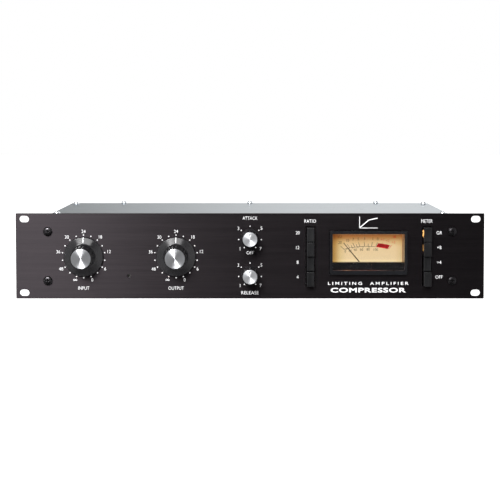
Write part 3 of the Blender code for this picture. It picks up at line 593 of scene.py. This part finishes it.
# %% Timing knobs
TIMING_PROFILE = [
    (0.0074, -0.0238), (0.0076, -0.0238), (0.0076, -0.0247), (0.00772, -0.0248), (0.00788, -0.0247),
    (0.0080, -0.0243), (0.0083, -0.0062), (0.0085, -0.0057), (0.0087, -0.0054), (0.00905, -0.0050),
    (0.0091, -0.0046), (0.0091, -0.0011), (0.0090, -0.0008), (0.0076, -0.0008), (0.0076, -0.0030),
    (0.0062, -0.0030), (0.0062, -0.0015),
]
for timing in ("attack", "release"):
    at = on_drawing(timing + "_knob")
    knob = turned(TIMING_PROFILE, at, 96)
    ready(knob, timing + "_knob_body", timing + "_control", "knob_black", knob_black.material)
    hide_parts(timing + "_knob")
print("two timing knobs")

# %% [markdown]
# ## Spun caps
#
# Each cap is a thin disc let into the knob's face: a raised polished rim, a fine step and a flat
# of spun metal. The timing caps carry a small round dimple that shows where the knob points. The
# polar UV map is written corner by corner, so the angle never jumps back in the middle of a face.


# %% Caps
def polar_map(obj, at):
    """Writes radius and angle, the two things the spun metal needs, as a UV map."""
    centre = spot(*at)
    layer = obj.data.uv_layers.new(name="polar")
    for face in obj.data.polygons:
        middle = face.center
        home = math.atan2(middle.x - centre.x, middle.z - centre.z)
        for corner in face.loop_indices:
            co = obj.data.vertices[obj.data.loops[corner].vertex_index].co
            x, z = co.x - centre.x, co.z - centre.z
            turn = home + math.remainder(math.atan2(x, z) - home, math.tau)
            layer.data[corner].uv = (math.hypot(x, z) / 0.01, turn / math.tau)


def cap(at, radius, face_depth):
    """A spun disc, modelled in rings so that the polar map has rows to follow."""
    flat = radius - 0.0007
    rings = [(radius - 0.0003, face_depth + 0.0008), (radius, face_depth + 0.0006)]
    rings += [(radius, face_depth + 0.0003), (radius - 0.00012, face_depth + 0.00005)]
    rings += [(radius - 0.0003, face_depth), (flat, face_depth), (flat - 0.0001, face_depth + 0.00012)]
    rings += [(flat * (1 - i / 24), face_depth + 0.00012) for i in range(1, 24)]
    rings += [(0.00002, face_depth + 0.00012)]
    return turned(rings, at, 96)


CAPS = {"input": 0.0101, "output": 0.0101, "attack": 0.0073, "release": 0.0073}
for control, radius in CAPS.items():
    node = control + "_knob_cap"
    at = on_drawing(node)
    disc = cap(at, radius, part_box(node)[0].y - FACE_Y)
    if radius < 0.01:
        fresh()
        dimple = spot(at[0], at[1] + 0.0046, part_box(node)[0].y - FACE_Y)
        bpy.ops.mesh.primitive_uv_sphere_add(segments=32, ring_count=16, radius=0.0011, location=dimple)
        cutter = bpy.context.object
        bpy.ops.transform.resize(value=(1, 0.42, 1))
        bpy.ops.object.transform_apply(location=True, rotation=True, scale=True)
        modify(disc, "BOOLEAN", object=cutter, operation="DIFFERENCE", solver="EXACT")
        bpy.data.objects.remove(cutter)
        smooth(disc)
    polar_map(disc, at)
    metal = spun if radius > 0.01 else fine_spun
    ready(disc, control + "_cap", control + "_control", "spun_aluminium", metal.material)
    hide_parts(node)
print("four spun caps")

# %% [markdown]
# ## Push buttons
#
# Each button is a satin moulding with a slightly hollow face that a fingertip finds. The refined
# copy of the measured button has eased edges; its front face is then inset twice and pushed in by
# a fraction of a millimetre. All eight are made by the same few lines.


# %% Buttons
def button(node):
    """A button with eased edges and a dished face."""
    obj = refined(node, button_black, 0.00025, 3)
    front = min(vertex.co.y for vertex in obj.data.vertices)
    only(obj)
    pick(lambda face: face.normal.y < -0.99 and face.center.y < front + 0.0002 and face.area > 2e-5)
    bpy.ops.mesh.inset(thickness=0.0006)
    bpy.ops.mesh.inset(thickness=0.0012)
    bpy.ops.transform.translate(value=(0, 0.00022, 0))
    bpy.ops.object.mode_set(mode="OBJECT")
    return smooth(obj)


buttons = [button(node) for node in NODES if "_button_" in node]
print(len(buttons), "buttons")

# %% [markdown]
# ## The meter's dial
#
# The dial is a cream card lit amber by the lamp in its case: brightest low in the middle, orange
# along the top and the left side. The glow is part of the material, because the light is trapped
# in the meter's case. One ramp fades it from left to right and another from the top down, both
# read in metres from the object's coordinates, and the two are multiplied.

# %% Lit card
DIAL_LOW, DIAL_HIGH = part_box("meter_dial")
METER_X = (DIAL_LOW.x + DIAL_HIGH.x) / 2
CARD_DEPTH = DIAL_LOW.y - FACE_Y
DIAL_TOP = 0.0205  # the highest part of the card that shows past the case
CARD_WIDTH, CARD_FADE = 0.077, 0.030  # how far the two ramps reach
card = Finish("dial_card", (0.05, 0.035, 0.020), 0.6)
from_left = card.place((1 / CARD_WIDTH, 1, 1), (METER_X - CARD_WIDTH / 2, 0, 0))
across = card.node("SeparateXYZ", {"Vector": from_left}).outputs["X"]
sideways = card.ramp(
    across, (0.0, (0.34, 0.21, 0.07)), (0.053, (0.50, 0.36, 0.14)), (0.08, (0.65, 0.53, 0.31)),
    (0.135, (0.87, 0.86, 0.71)), (0.22, 1.0), (0.88, 1.0), (0.96, (0.86, 0.82, 0.70)),
)
from_top = card.place((1, 1, -1 / CARD_FADE), (0, 0, MIDDLE_Z + DIAL_TOP))
down = card.node("SeparateXYZ", {"Vector": from_top}).outputs["Z"]
downward = card.ramp(
    down, (0.0, (0.28, 0.10, 0.03)), (0.05, (0.40, 0.145, 0.034)), (0.13, (0.50, 0.24, 0.074)),
    (0.24, (0.74, 0.48, 0.21)), (0.41, (0.85, 0.62, 0.34)), (0.83, (0.85, 0.65, 0.37)),
    (0.96, (0.98, 0.79, 0.45)),
)
light = card.mix(1.0, downward, sideways, "MULTIPLY")
fibres = card.noise(card.place(), 1200.0, 2.0)
light = card.mix(1.0, light, card.ramp(fibres, (0.3, 0.96), (0.7, 1.0)), "MULTIPLY")
card.link("Emission Color", light)
card.put("Emission Strength", 0.96)
refined("meter_dial", card, 0.00008)
print("card", CARD_DEPTH)

# %% [markdown]
# ## Printing on the panel and on the dial
#
# Letters begin as text objects. Each is turned into a mesh, brought to the height or width it was
# drawn at, and stood a hair proud of its surface, as screen-printing ink is. Marks that belong
# together are joined into one piece, so that a maker can repaint a whole scale at once.


# %% Lettering tools
NARROW = 0.92  # the panel's letters are a little narrower than the built-in ones


def words(text, x, height, tall, wide=None, depth=-INK, bold=0.0, spacing=1.0):
    """A word as a thin mesh, its middle at this place, its capitals this tall."""
    fresh()
    bpy.ops.object.text_add(rotation=(math.pi / 2, 0, 0))
    obj = bpy.context.object
    obj.data.body = text
    obj.data.extrude = INK
    obj.data.offset = bold
    obj.data.resolution_u = 4
    obj.data.space_character = spacing
    bpy.ops.object.convert(target="MESH")
    obj = bpy.context.object
    bpy.ops.object.origin_set(type="ORIGIN_GEOMETRY", center="BOUNDS")
    size = tall / obj.dimensions.y
    stretch = wide / obj.dimensions.x if wide else NARROW * size
    obj.scale = (stretch, size, 1)
    obj.location = spot(x, height, depth)
    bpy.ops.object.transform_apply(location=True, rotation=True, scale=True)
    return clean(obj)


def dots(places, radius, depth=-INK):
    """Round printed dots, modelled once and copied."""
    fresh()
    bpy.ops.mesh.primitive_circle_add(
        vertices=20, radius=radius, fill_type="NGON", rotation=(math.pi / 2, 0, 0)
    )
    first = bpy.context.object
    bpy.ops.object.transform_apply(location=True, rotation=True, scale=True)
    edit("FACE")
    bpy.ops.mesh.select_all(action="SELECT")
    bpy.ops.mesh.extrude_region_move(TRANSFORM_OT_translate={"value": (0, -INK, 0)})
    bpy.ops.object.mode_set(mode="OBJECT")
    clean(first)
    made = []
    for x, height in places:
        only(first)
        bpy.ops.object.duplicate()
        copy = bpy.context.object
        copy.location = spot(x, height, depth + INK)
        bpy.ops.object.transform_apply(location=True, rotation=True, scale=True)
        made.append(copy)
    bpy.data.objects.remove(first)
    return made


def stroke(start, end, width, depth=-INK):
    """A straight printed line between two places on the drawing."""
    (x0, z0), (x1, z1) = start, end
    fresh()
    lean = math.atan2(x1 - x0, z1 - z0)
    bpy.ops.mesh.primitive_cube_add(
        size=1,
        location=spot((x0 + x1) / 2, (z0 + z1) / 2, depth),
        rotation=(0, lean, 0),
        scale=(width, 2 * INK, math.dist(start, end)),
    )
    obj = bpy.context.object
    bpy.ops.object.transform_apply(location=True, rotation=True, scale=True)
    edit("FACE")
    bpy.ops.mesh.select_all(action="SELECT")
    bpy.ops.mesh.bevel(offset=INK / 4, segments=1)
    bpy.ops.object.mode_set(mode="OBJECT")
    return obj


def joined(name, slot, finish, objs):
    """Several marks as one printed piece on the unit's frame."""
    fresh()
    for obj in objs:
        obj.select_set(True)
    bpy.context.view_layer.objects.active = objs[0]
    bpy.ops.object.join()
    return ready(bpy.context.object, name, "frame", slot, finish.material)


def clock(at, radius, degrees):
    """The place at this angle, clockwise from the top of a dial."""
    turn = math.radians(degrees)
    return at[0] + radius * math.sin(turn), at[1] + radius * math.cos(turn)


print("lettering tools ready")

# %% [markdown]
# ## Scales round the knobs
#
# The level scales run from no signal, at the far left, to full at the far right, with a dot every
# twenty degrees and a number at every other dot. The timing scales have seven dots and count
# from 1 to 7. All of it is placed by angle round its knob.

# %% Scales
DIGIT, CAPITAL = 0.0033, 0.0034
LEVEL_NUMBERS = {
    "∞": (-160, 0.0258), "48": (-119, 0.0266), "36": (-79.5, 0.0265), "30": (-40.5, 0.0264),
    "24": (0, 0.0259), "18": (41, 0.0267), "12": (79, 0.0268), "6": (120, 0.0256), "0": (160, 0.0258),
}
LEVEL_WORDS = {"input": 0.0114, "output": 0.0158}
for level, wide in LEVEL_WORDS.items():
    at = on_drawing(level + "_knob")
    marks = dots([clock(at, 0.0221, turn) for turn in range(-160, 181, 20)], 0.00060)
    for number, (turn, radius) in LEVEL_NUMBERS.items():
        tall = DIGIT * (0.62 if number == "∞" else 1)
        marks.append(words(number, *clock(at, radius, turn), tall, bold=-0.008))
    marks.append(words(level.upper(), at[0], at[1] - 0.0328, CAPITAL, wide, bold=-0.008))
    joined(level + "_scale", "black_anodised", white_ink, marks)

TIMING_NUMBERS = {
    "1": (-0.0102, -0.0115), "3": (-0.0120, 0.0096), "5": (0.0117, 0.0098), "7": (0.0109, -0.0114),
}
TIMING_WORDS = {"attack": (0.0201, 0.0152), "release": (-0.0189, 0.0180)}
for timing, (word_height, wide) in TIMING_WORDS.items():
    at = on_drawing(timing + "_knob")
    marks = dots([clock(at, 0.0118, turn) for turn in range(-150, 151, 50)], 0.00058)
    for number, (x, height) in TIMING_NUMBERS.items():
        marks.append(words(number, at[0] + x, at[1] + height, DIGIT, bold=-0.008))
    marks.append(words(timing.upper(), at[0], at[1] + word_height, CAPITAL, wide, bold=-0.008))
    if timing == "attack":
        marks.append(words("OFF", at[0], at[1] - 0.0157, DIGIT, 0.0069, bold=-0.008))
    joined(timing + "_scale", "black_anodised", white_ink, marks)
print("four scales")

# %% [markdown]
# ## Words beside the buttons and the meter
#
# The banks are labelled beside each button. Above the meter stands a small drawing of what a
# limiter does, a pair of axes with a line that bends over, and below it the unit's plain name.

# %% Panel words
BANK_WORDS = {
    "ratio": (-0.0131, 0.0119, (("20", "20"), ("12", "12"), ("8", "8"), ("4", "4"))),
    "meter": (0.0125, 0.0117, (("GR", "gr"), ("+8", "plus8"), ("+4", "plus4"), ("OFF", "off"))),
}
for bank, (aside, wide, labels) in BANK_WORDS.items():
    x = on_drawing(bank + "_switch_bank")[0]
    marks = [words(bank.upper(), x - 0.0003, 0.0361, CAPITAL, wide, bold=-0.008)]
    for text, key in labels:
        height = on_drawing(f"{bank}_button_{key}")[1] + 0.0016
        marks.append(words(text, x + aside, height, DIGIT, bold=-0.008))
    joined(bank + "_words", "black_anodised", white_ink, marks)

NAME_LINE = [
    words("LIMITING  AMPLIFIER", METER_X, -0.0283, 0.0031, 0.0830, bold=0.008, spacing=1.5),
    words("COMPRESSOR", METER_X, -0.0353, 0.0049, 0.0775, bold=0.022, spacing=1.08),
]
joined("name_words", "black_anodised", white_ink, NAME_LINE)
curve = [
    stroke((METER_X - 0.0095, 0.0290), (METER_X + 0.0095, 0.0290), 0.0006),
    stroke((METER_X - 0.0092, 0.0288), (METER_X - 0.0092, 0.0408), 0.0006),
    stroke((METER_X - 0.0092, 0.0292), (METER_X + 0.0005, 0.0374), 0.0009),
    stroke((METER_X + 0.0002, 0.0372), (METER_X + 0.0092, 0.0392), 0.0009),
]
joined("limiter_symbol", "black_anodised", white_ink, curve)
print("panel words printed")

# %% [markdown]
# ## The dial's scale
#
# A level meter's scale is a flat arc: black up to nought and a broad red band above it. The arc is
# cut from a large circle, keeping only the part over the card, and then the edge is extruded and
# resized into a band. Its ticks point at the needle's pivot, not at the arc's own centre.

# %% Scale arcs
SCALE_RADIUS, SCALE_TOP = 0.0920, 0.0081
PIVOT = (METER_X, -0.0175)
ON_CARD = CARD_DEPTH - INK


def arc_band(left, right, base, thick, slant=0.0):
    """A printed band between two places across, its lower edge at this height over the middle."""
    centre = spot(METER_X, base - SCALE_RADIUS, ON_CARD)
    fresh()
    bpy.ops.mesh.primitive_circle_add(
        vertices=720, radius=SCALE_RADIUS, location=centre, rotation=(math.pi / 2, 0, 0)
    )
    obj = bpy.context.object
    bpy.ops.object.transform_apply(location=True, rotation=True, scale=True)
    pick(lambda v: v.co.z < centre.z or not left <= v.co.x - METER_X <= right, "verts")
    bpy.ops.mesh.delete(type="VERT")
    bpy.ops.mesh.select_all(action="SELECT")
    bpy.ops.mesh.extrude_edges_move()
    ratio = 1 + thick / SCALE_RADIUS
    bpy.ops.transform.resize(value=(ratio, 1, ratio), center_override=centre)
    bpy.ops.transform.translate(value=(slant, 0, 0))
    bpy.ops.mesh.select_all(action="SELECT")
    bpy.ops.mesh.extrude_region_move(TRANSFORM_OT_translate={"value": (0, -INK, 0)})
    bpy.ops.object.mode_set(mode="OBJECT")
    return clean(obj)


def tick(x, long):
    """A tick from the arc upwards, in line with the pivot."""
    z = SCALE_TOP - x * x / (2 * SCALE_RADIUS)
    away = Vector((x, z - PIVOT[1])).normalized() * long
    start = (METER_X + x, z)
    return stroke(start, (start[0] + away.x, start[1] + away.y), 0.00042, ON_CARD)


black_arc = arc_band(-0.0240, 0.0092, SCALE_TOP, 0.00042)
ticks = [tick(x, 0.0050) for x in (-0.0238, -0.0176, -0.0125, -0.0074, -0.0024, 0.0048, 0.0092)]
ticks += [tick(x, 0.0030) for x in (-0.0150, -0.0100, 0.0012)]
ticks += [tick(x, -0.0012) for x in (-0.0215, -0.0150, -0.0095, -0.0042, 0.0022)]
red_band = arc_band(0.0090, 0.0220, SCALE_TOP - 0.0001, 0.0041, 0.0017)
print("arcs and", len(ticks), "ticks")

# %% [markdown]
# ## The dial's numbers
#
# The numbers stand over the ticks, a little lower towards the sides, black below nought and red
# above it. The lower row counts in per cent.

# %% Dial numbers
UPPER = {
    "20": (-0.0281, 0.0124), "10": (-0.0200, 0.0146), "7": (-0.0143, 0.0156), "5": (-0.0090, 0.0161),
    "3": (-0.0025, 0.0164), "1": (0.0062, 0.0163), "0": (0.0112, 0.0160),
}
OVER = {"+1": (0.0160, 0.0154), "+2": (0.0215, 0.0142), "+3": (0.0277, 0.0126)}
LOWER = {
    "0": (-0.0225, 0.0030), "20": (-0.0175, 0.0040), "40": (-0.0122, 0.0046), "60": (-0.0056, 0.0050),
    "80": (0.0013, 0.0051), "100": (0.0092, 0.0048),
}


def numbers(places, tall):
    return [words(text, METER_X + x, z, tall, None, ON_CARD, -0.004) for text, (x, z) in places.items()]


upper_and_lower = numbers(UPPER, 0.0029) + numbers(LOWER, 0.0026)
title = words("VU", METER_X - 0.0287, 0.0183, 0.0026, None, ON_CARD, 0.004)
joined("dial_black_print", "dial_amber", black_ink, [black_arc, title, *ticks, *upper_and_lower])
red_ticks = [tick(x, 0.0055) for x in (0.0136, 0.0178, 0.0222)]
over_title = words("dB", METER_X + 0.0287, 0.0183, 0.0024, None, ON_CARD, 0.004)
joined("dial_red_print", "dial_amber", red_ink, [red_band, over_title, *red_ticks, *numbers(OVER, 0.0028)])
print("dial printed")

# %% [markdown]
# ## The meter's case
#
# The case is a satin moulding with a step round the window. The lamp sits inside it, so two parts
# of the case are lit: its side walls, brighter towards the dial, and the sill under the window,
# which mirrors the dial as a thin amber line. One way is a real lamp, but its light would have to
# find its way out by many bounces, which renders slowly and grainy. Here a second and a third
# material that glow go on just those faces, picked by where they lie.

# %% Case
WINDOW_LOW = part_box("meter_window")[0]
WALL_X, WALL_DEPTH = 0.037, 0.024  # the case's inner walls: out from the middle, and how deep
SILL_LENGTH = 0.074
case = refined("meter_case", meter_black, 0.0003, 3)
glow = Finish("lit_case_wall", (0.012, 0.008, 0.006), 0.35, Emission_Strength=1.0)
inward = glow.place((1, 1 / WALL_DEPTH, 1), (0, FACE_Y - 0.004, 0))
inward = glow.node("SeparateXYZ", {"Vector": inward}).outputs["Y"]
lit = ((0.0, (0.004, 0.002, 0.001)), (0.25, (0.05, 0.02, 0.012)), (1.0, (0.26, 0.12, 0.05)))
glow.link("Emission Color", glow.ramp(inward, *lit))
glow.link("Roughness", glow.ramp(glow.noise(glow.place(), 300.0), (0.3, 0.30), (0.7, 0.42)))
sill = Finish("lit_sill", (0.010, 0.008, 0.007), 0.30, Emission_Strength=1.0)
along = sill.place((1 / SILL_LENGTH, 1, 1), (WINDOW_LOW.x, 0, 0))
along = sill.node("SeparateXYZ", {"Vector": along}).outputs["X"]
dim, warm, bright = (0.02, 0.01, 0.008), (0.13, 0.042, 0.028), (0.40, 0.17, 0.075)
lit = ((0.0, dim), (0.13, warm), (0.20, bright), (0.27, warm), (0.60, warm), (0.82, dim))
sill.link("Emission Color", sill.ramp(along, *lit))
sill.link("Roughness", sill.ramp(sill.noise(sill.place(), 300.0), (0.3, 0.25), (0.7, 0.36)))


def on_wall(face):
    return abs(face.normal.x) > 0.9 and abs(abs(face.center.x - METER_X) - WALL_X) < 0.0005


def on_sill(face):
    low = abs(face.center.z - WINDOW_LOW.z) < 0.0006
    return low and face.normal.z > 0.9 and face.center.y < FACE_Y + 0.003


for finish, test in ((glow, on_wall), (sill, on_sill)):
    case.data.materials.append(finish.material)
    faces = [face for face in case.data.polygons if test(face)]
    for face in faces:
        face.material_index = len(case.data.materials) - 1
    print(finish.material.name, len(faces), "faces")

# %% [markdown]
# ## The needle and the window
#
# The needle is a tapered aluminium pointer painted dark. It is thin enough to read between two
# marks, so it is fattened by a fraction of a millimetre to keep its line; the added dark width
# also stands in for the needle's shadow on the card, painted shade. The window is clear
# plastic, which bends light a little and reflects it at a glance.

# %% Needle and window
needle_paint = Finish("needle_paint", (0.030, 0.012, 0.006), 0.5)
flecks = needle_paint.noise(needle_paint.place(), 900.0)
needle_paint.link("Roughness", needle_paint.ramp(flecks, (0.3, 0.42), (0.7, 0.6)))
clear = Finish("clear_plastic", (1.0, 1.0, 1.0), 0.02, 0.0, Transmission_Weight=1.0, Ior=1.38)
smears = clear.noise(clear.place((1, 1, 2)), 30.0, 3.0)
clear.link("Roughness", clear.ramp(smears, (0.35, 0.0), (0.75, 0.05)))
needle = refined("meter_needle", needle_paint, 0.00005)
only(needle)
edit()
bpy.ops.mesh.select_all(action="SELECT")
# Fatten the needle: partly to keep its line, partly as painted shade for its shadow on the card.
bpy.ops.transform.shrink_fatten(value=0.00018)
bpy.ops.object.mode_set(mode="OBJECT")
refined("meter_zero_screw", meter_black, 0.00012)
refined("meter_window", clear, 0.0001)
print("meter finished")

# %% [markdown]
# ## The rear connectors
#
# At the back are a mains inlet with its fuse drawer, a strip of terminals, a small link socket and
# the two line connectors. They are refined copies in dull black plastic and nickel.

# %% Connectors
for node in ("mains_inlet", "fuse_drawer", "terminal_strip", "input_socket_latch", "zero_trimmer"):
    refined(node, socket_black, 0.0002)
for node in ("input_socket", "output_socket", "link_jack"):
    refined(node, nickel, 0.00012)
refined("zero_trimmer_screw", nickel, 0.00008)
print("connectors finished")

# %% [markdown]
# ## Inside
#
# Nothing in here shows until the lid is off, but a part that is reused may well be opened. The
# board is green glass fibre, the transformers are stacks of varnished steel sheets, and the
# stacked sheets show as fine lines on every side.

# %% Board and iron
board = Finish("solder_mask", (0.012, 0.10, 0.045), 0.30, Coat_Weight=0.4)
weave = board.noise(board.place((1, 1, 1)), 700.0, 2.0)
board.link("Base Color", board.ramp(weave, (0.3, (0.009, 0.08, 0.035)), (0.7, (0.016, 0.12, 0.055))))
board.bump(weave, 0.2, 0.00003)
refined("main_board", board, 0.0001)
iron = Finish("varnished_laminations", (0.055, 0.050, 0.050), 0.45, 0.7)
sheets = iron.noise(iron.place((1, 1400, 1)), 1.0, 1.0)
iron.link("Base Color", iron.ramp(sheets, (0.3, (0.030, 0.027, 0.027)), (0.7, (0.085, 0.075, 0.070))))
iron.bump(sheets, 0.4, 0.0001)
for node in ("power_transformer", "output_transformer"):
    refined(node, iron, 0.0003)
for node in NODES:
    if node.endswith("_pot") or node.endswith("_shaft") or node.endswith("_switch_bank"):
        refined(node, steel, 0.0001)
lamp = Finish("lamp_glass", (1.0, 0.75, 0.40), 0.1, Emission_Strength=6.0)
lamp.put("Emission Color", (1.0, 0.62, 0.25, 1))
tint = lamp.noise(lamp.place(), 400.0)
lamp.link("Roughness", lamp.ramp(tint, (0.3, 0.05), (0.7, 0.2)))
refined("meter_lamp", lamp, 0.0001)
print("inside finished")

# %% [markdown]
# ## Floor, lights and camera
#
# The unit stands on a plain pale floor. A black front only looks black when what it mirrors is
# dark, so the studio is white behind the unit and dim in front of it, and the floor is kept out
# of reflections. Three softboxes hang above the camera and to its left. The wide one is mirrored
# by the knobs' skirts as a bright arc. The other two give the brushed panel its fade from left to
# right, and the spun caps their two fans. Two tiny amber lights stand for what the meter's lamp
# leaks through the slot beside the top buttons.

# %% Floor and backdrop
paper = Finish("pale_paper", (0.93, 0.93, 0.93), 0.9)
tooth = paper.noise(paper.place(), 60.0, 2.0)
paper.link("Base Color", paper.ramp(tooth, (0.3, 0.92), (0.7, 0.94)))
paper.put("Emission Color", (1, 1, 1, 1))
paper.put("Emission Strength", 0.85)
fresh()
bpy.ops.mesh.primitive_plane_add(size=1, location=(0, 1.0, PANEL_LOW.z - 0.0002), scale=(1, 1, 1))
floor = bpy.context.object
floor.name = "floor"
bpy.ops.transform.resize(value=(14, 8, 1))
bpy.ops.object.transform_apply(location=True, rotation=True, scale=True)
floor.data.materials.append(paper.material)
floor.visible_glossy = floor.visible_transmission = False
print("floor laid")

# %% Studio walls
world = bpy.data.worlds.new("studio")
bpy.context.scene.world = world
world.use_nodes = True
tree = world.node_tree


def wall(kind, link_from=None, **values):
    """One node of the studio's walls."""
    made = tree.nodes.new("ShaderNode" + kind)
    for key, value in values.items():
        setattr(made, key, value)
    if link_from is not None:
        tree.links.new(link_from, made.inputs[0])
    return made


def fade(source, start, end, low, high):
    """A smooth step between two values as the direction looked in goes from start to end."""
    made = wall("MapRange", source, interpolation_type="SMOOTHSTEP")
    for key, value in {"From Min": start, "From Max": end, "To Min": low, "To Max": high}.items():
        made.inputs[key].default_value = value
    return made.outputs[0]


def combine(operation, first, second):
    made = wall("Math", first, operation=operation)
    tree.links.new(second, made.inputs[1])
    return made.outputs[0]


direction = wall("SeparateXYZ", wall("TexCoord").outputs["Generated"])
across_x, up_z = direction.outputs["X"], direction.outputs["Z"]
behind = fade(direction.outputs["Y"], -0.15, 0.45, 0.10, 1.0)
rear = combine("MULTIPLY", behind, fade(across_x, -0.60, -0.18, 0.15, 1.0))
# A dark flag high on the left, behind the unit, dims that end of the lid.
flag = combine("MULTIPLY", fade(up_z, 0.088, 0.125, 0.0, 1.0), fade(across_x, -0.20, 0.08, 0.95, 0.0))
shade = wall("Math", flag, operation="MULTIPLY_ADD")
shade.inputs[1].default_value, shade.inputs[2].default_value = -1.0, 1.0
shaded = combine("MULTIPLY", rear, shade.outputs[0])
sides = fade(wall("Math", across_x, operation="ABSOLUTE").outputs[0], 0.32, 0.62, 0.0, 0.55)
tree.links.new(combine("ADD", shaded, sides), tree.nodes["Background"].inputs["Strength"])
tree.nodes["Background"].inputs["Color"].default_value = (1, 1, 1, 1)
print("studio walls up")


# %% Lights
def softbox(name, location, target, size, power, colour=(1, 1, 1)):
    """An area light that looks at a place."""
    lamp_data = bpy.data.lights.new(name, "AREA")
    lamp_data.shape = "RECTANGLE"
    lamp_data.size, lamp_data.size_y = size
    lamp_data.energy = power
    lamp_data.color = colour
    made = bpy.data.objects.new(name, lamp_data)
    bpy.context.scene.collection.objects.link(made)
    aim = Vector(target) - Vector(location)
    turn = aim.to_track_quat("-Z", "Y").to_matrix().to_4x4()
    made.matrix_world = Matrix.Translation(location) @ turn


softbox("above", spot(-0.26, 1.02, -1.35), spot(0, 0), (1.16, 0.32), 8)
softbox("key", spot(-0.46, 0.72, -1.42), spot(-0.1, 0), (0.30, 0.34), 20)
softbox("high left", spot(-0.80, 1.20, -0.85), spot(-0.10, 0), (0.40, 0.40), 12)
AMBER = (1.0, 0.50, 0.16)
SLOT_X, SLOT_DEPTH = 0.17795, 0.0045  # the gap at the left of the meter's buttons
for height, length, power in ((0.0228, 0.0070, 0.00022), (0.0080, 0.0066, 0.00004)):
    place, outward = spot(SLOT_X, height, SLOT_DEPTH), spot(SLOT_X, height, -1)
    softbox("lamp leak", place, outward, (0.0008, length), power, AMBER)
print("lights hung")

# %% Camera
DISTANCE, HEIGHT, DOWN = 1.500, 0.146, math.radians(3)
camera_data = bpy.data.cameras.new("camera")
camera = bpy.data.objects.new("camera", camera_data)
bpy.context.scene.collection.objects.link(camera)
camera.location = spot(0, HEIGHT, -DISTANCE)
camera.rotation_euler = (math.pi / 2 - DOWN, 0, 0)
camera_data.lens = 105.2
camera_data.sensor_width = 36
camera_data.shift_y = -0.1185
camera_data.clip_start = 0.05
camera_data.clip_end = 30
bpy.context.scene.camera = camera
bpy.context.scene.view_settings.view_transform = "Standard"
print("camera", [round(v, 3) for v in camera.location])

# %% [markdown]
# ## Finish
#
# The script ends as every step starts, with nothing selected.

# %% Finish
fresh()
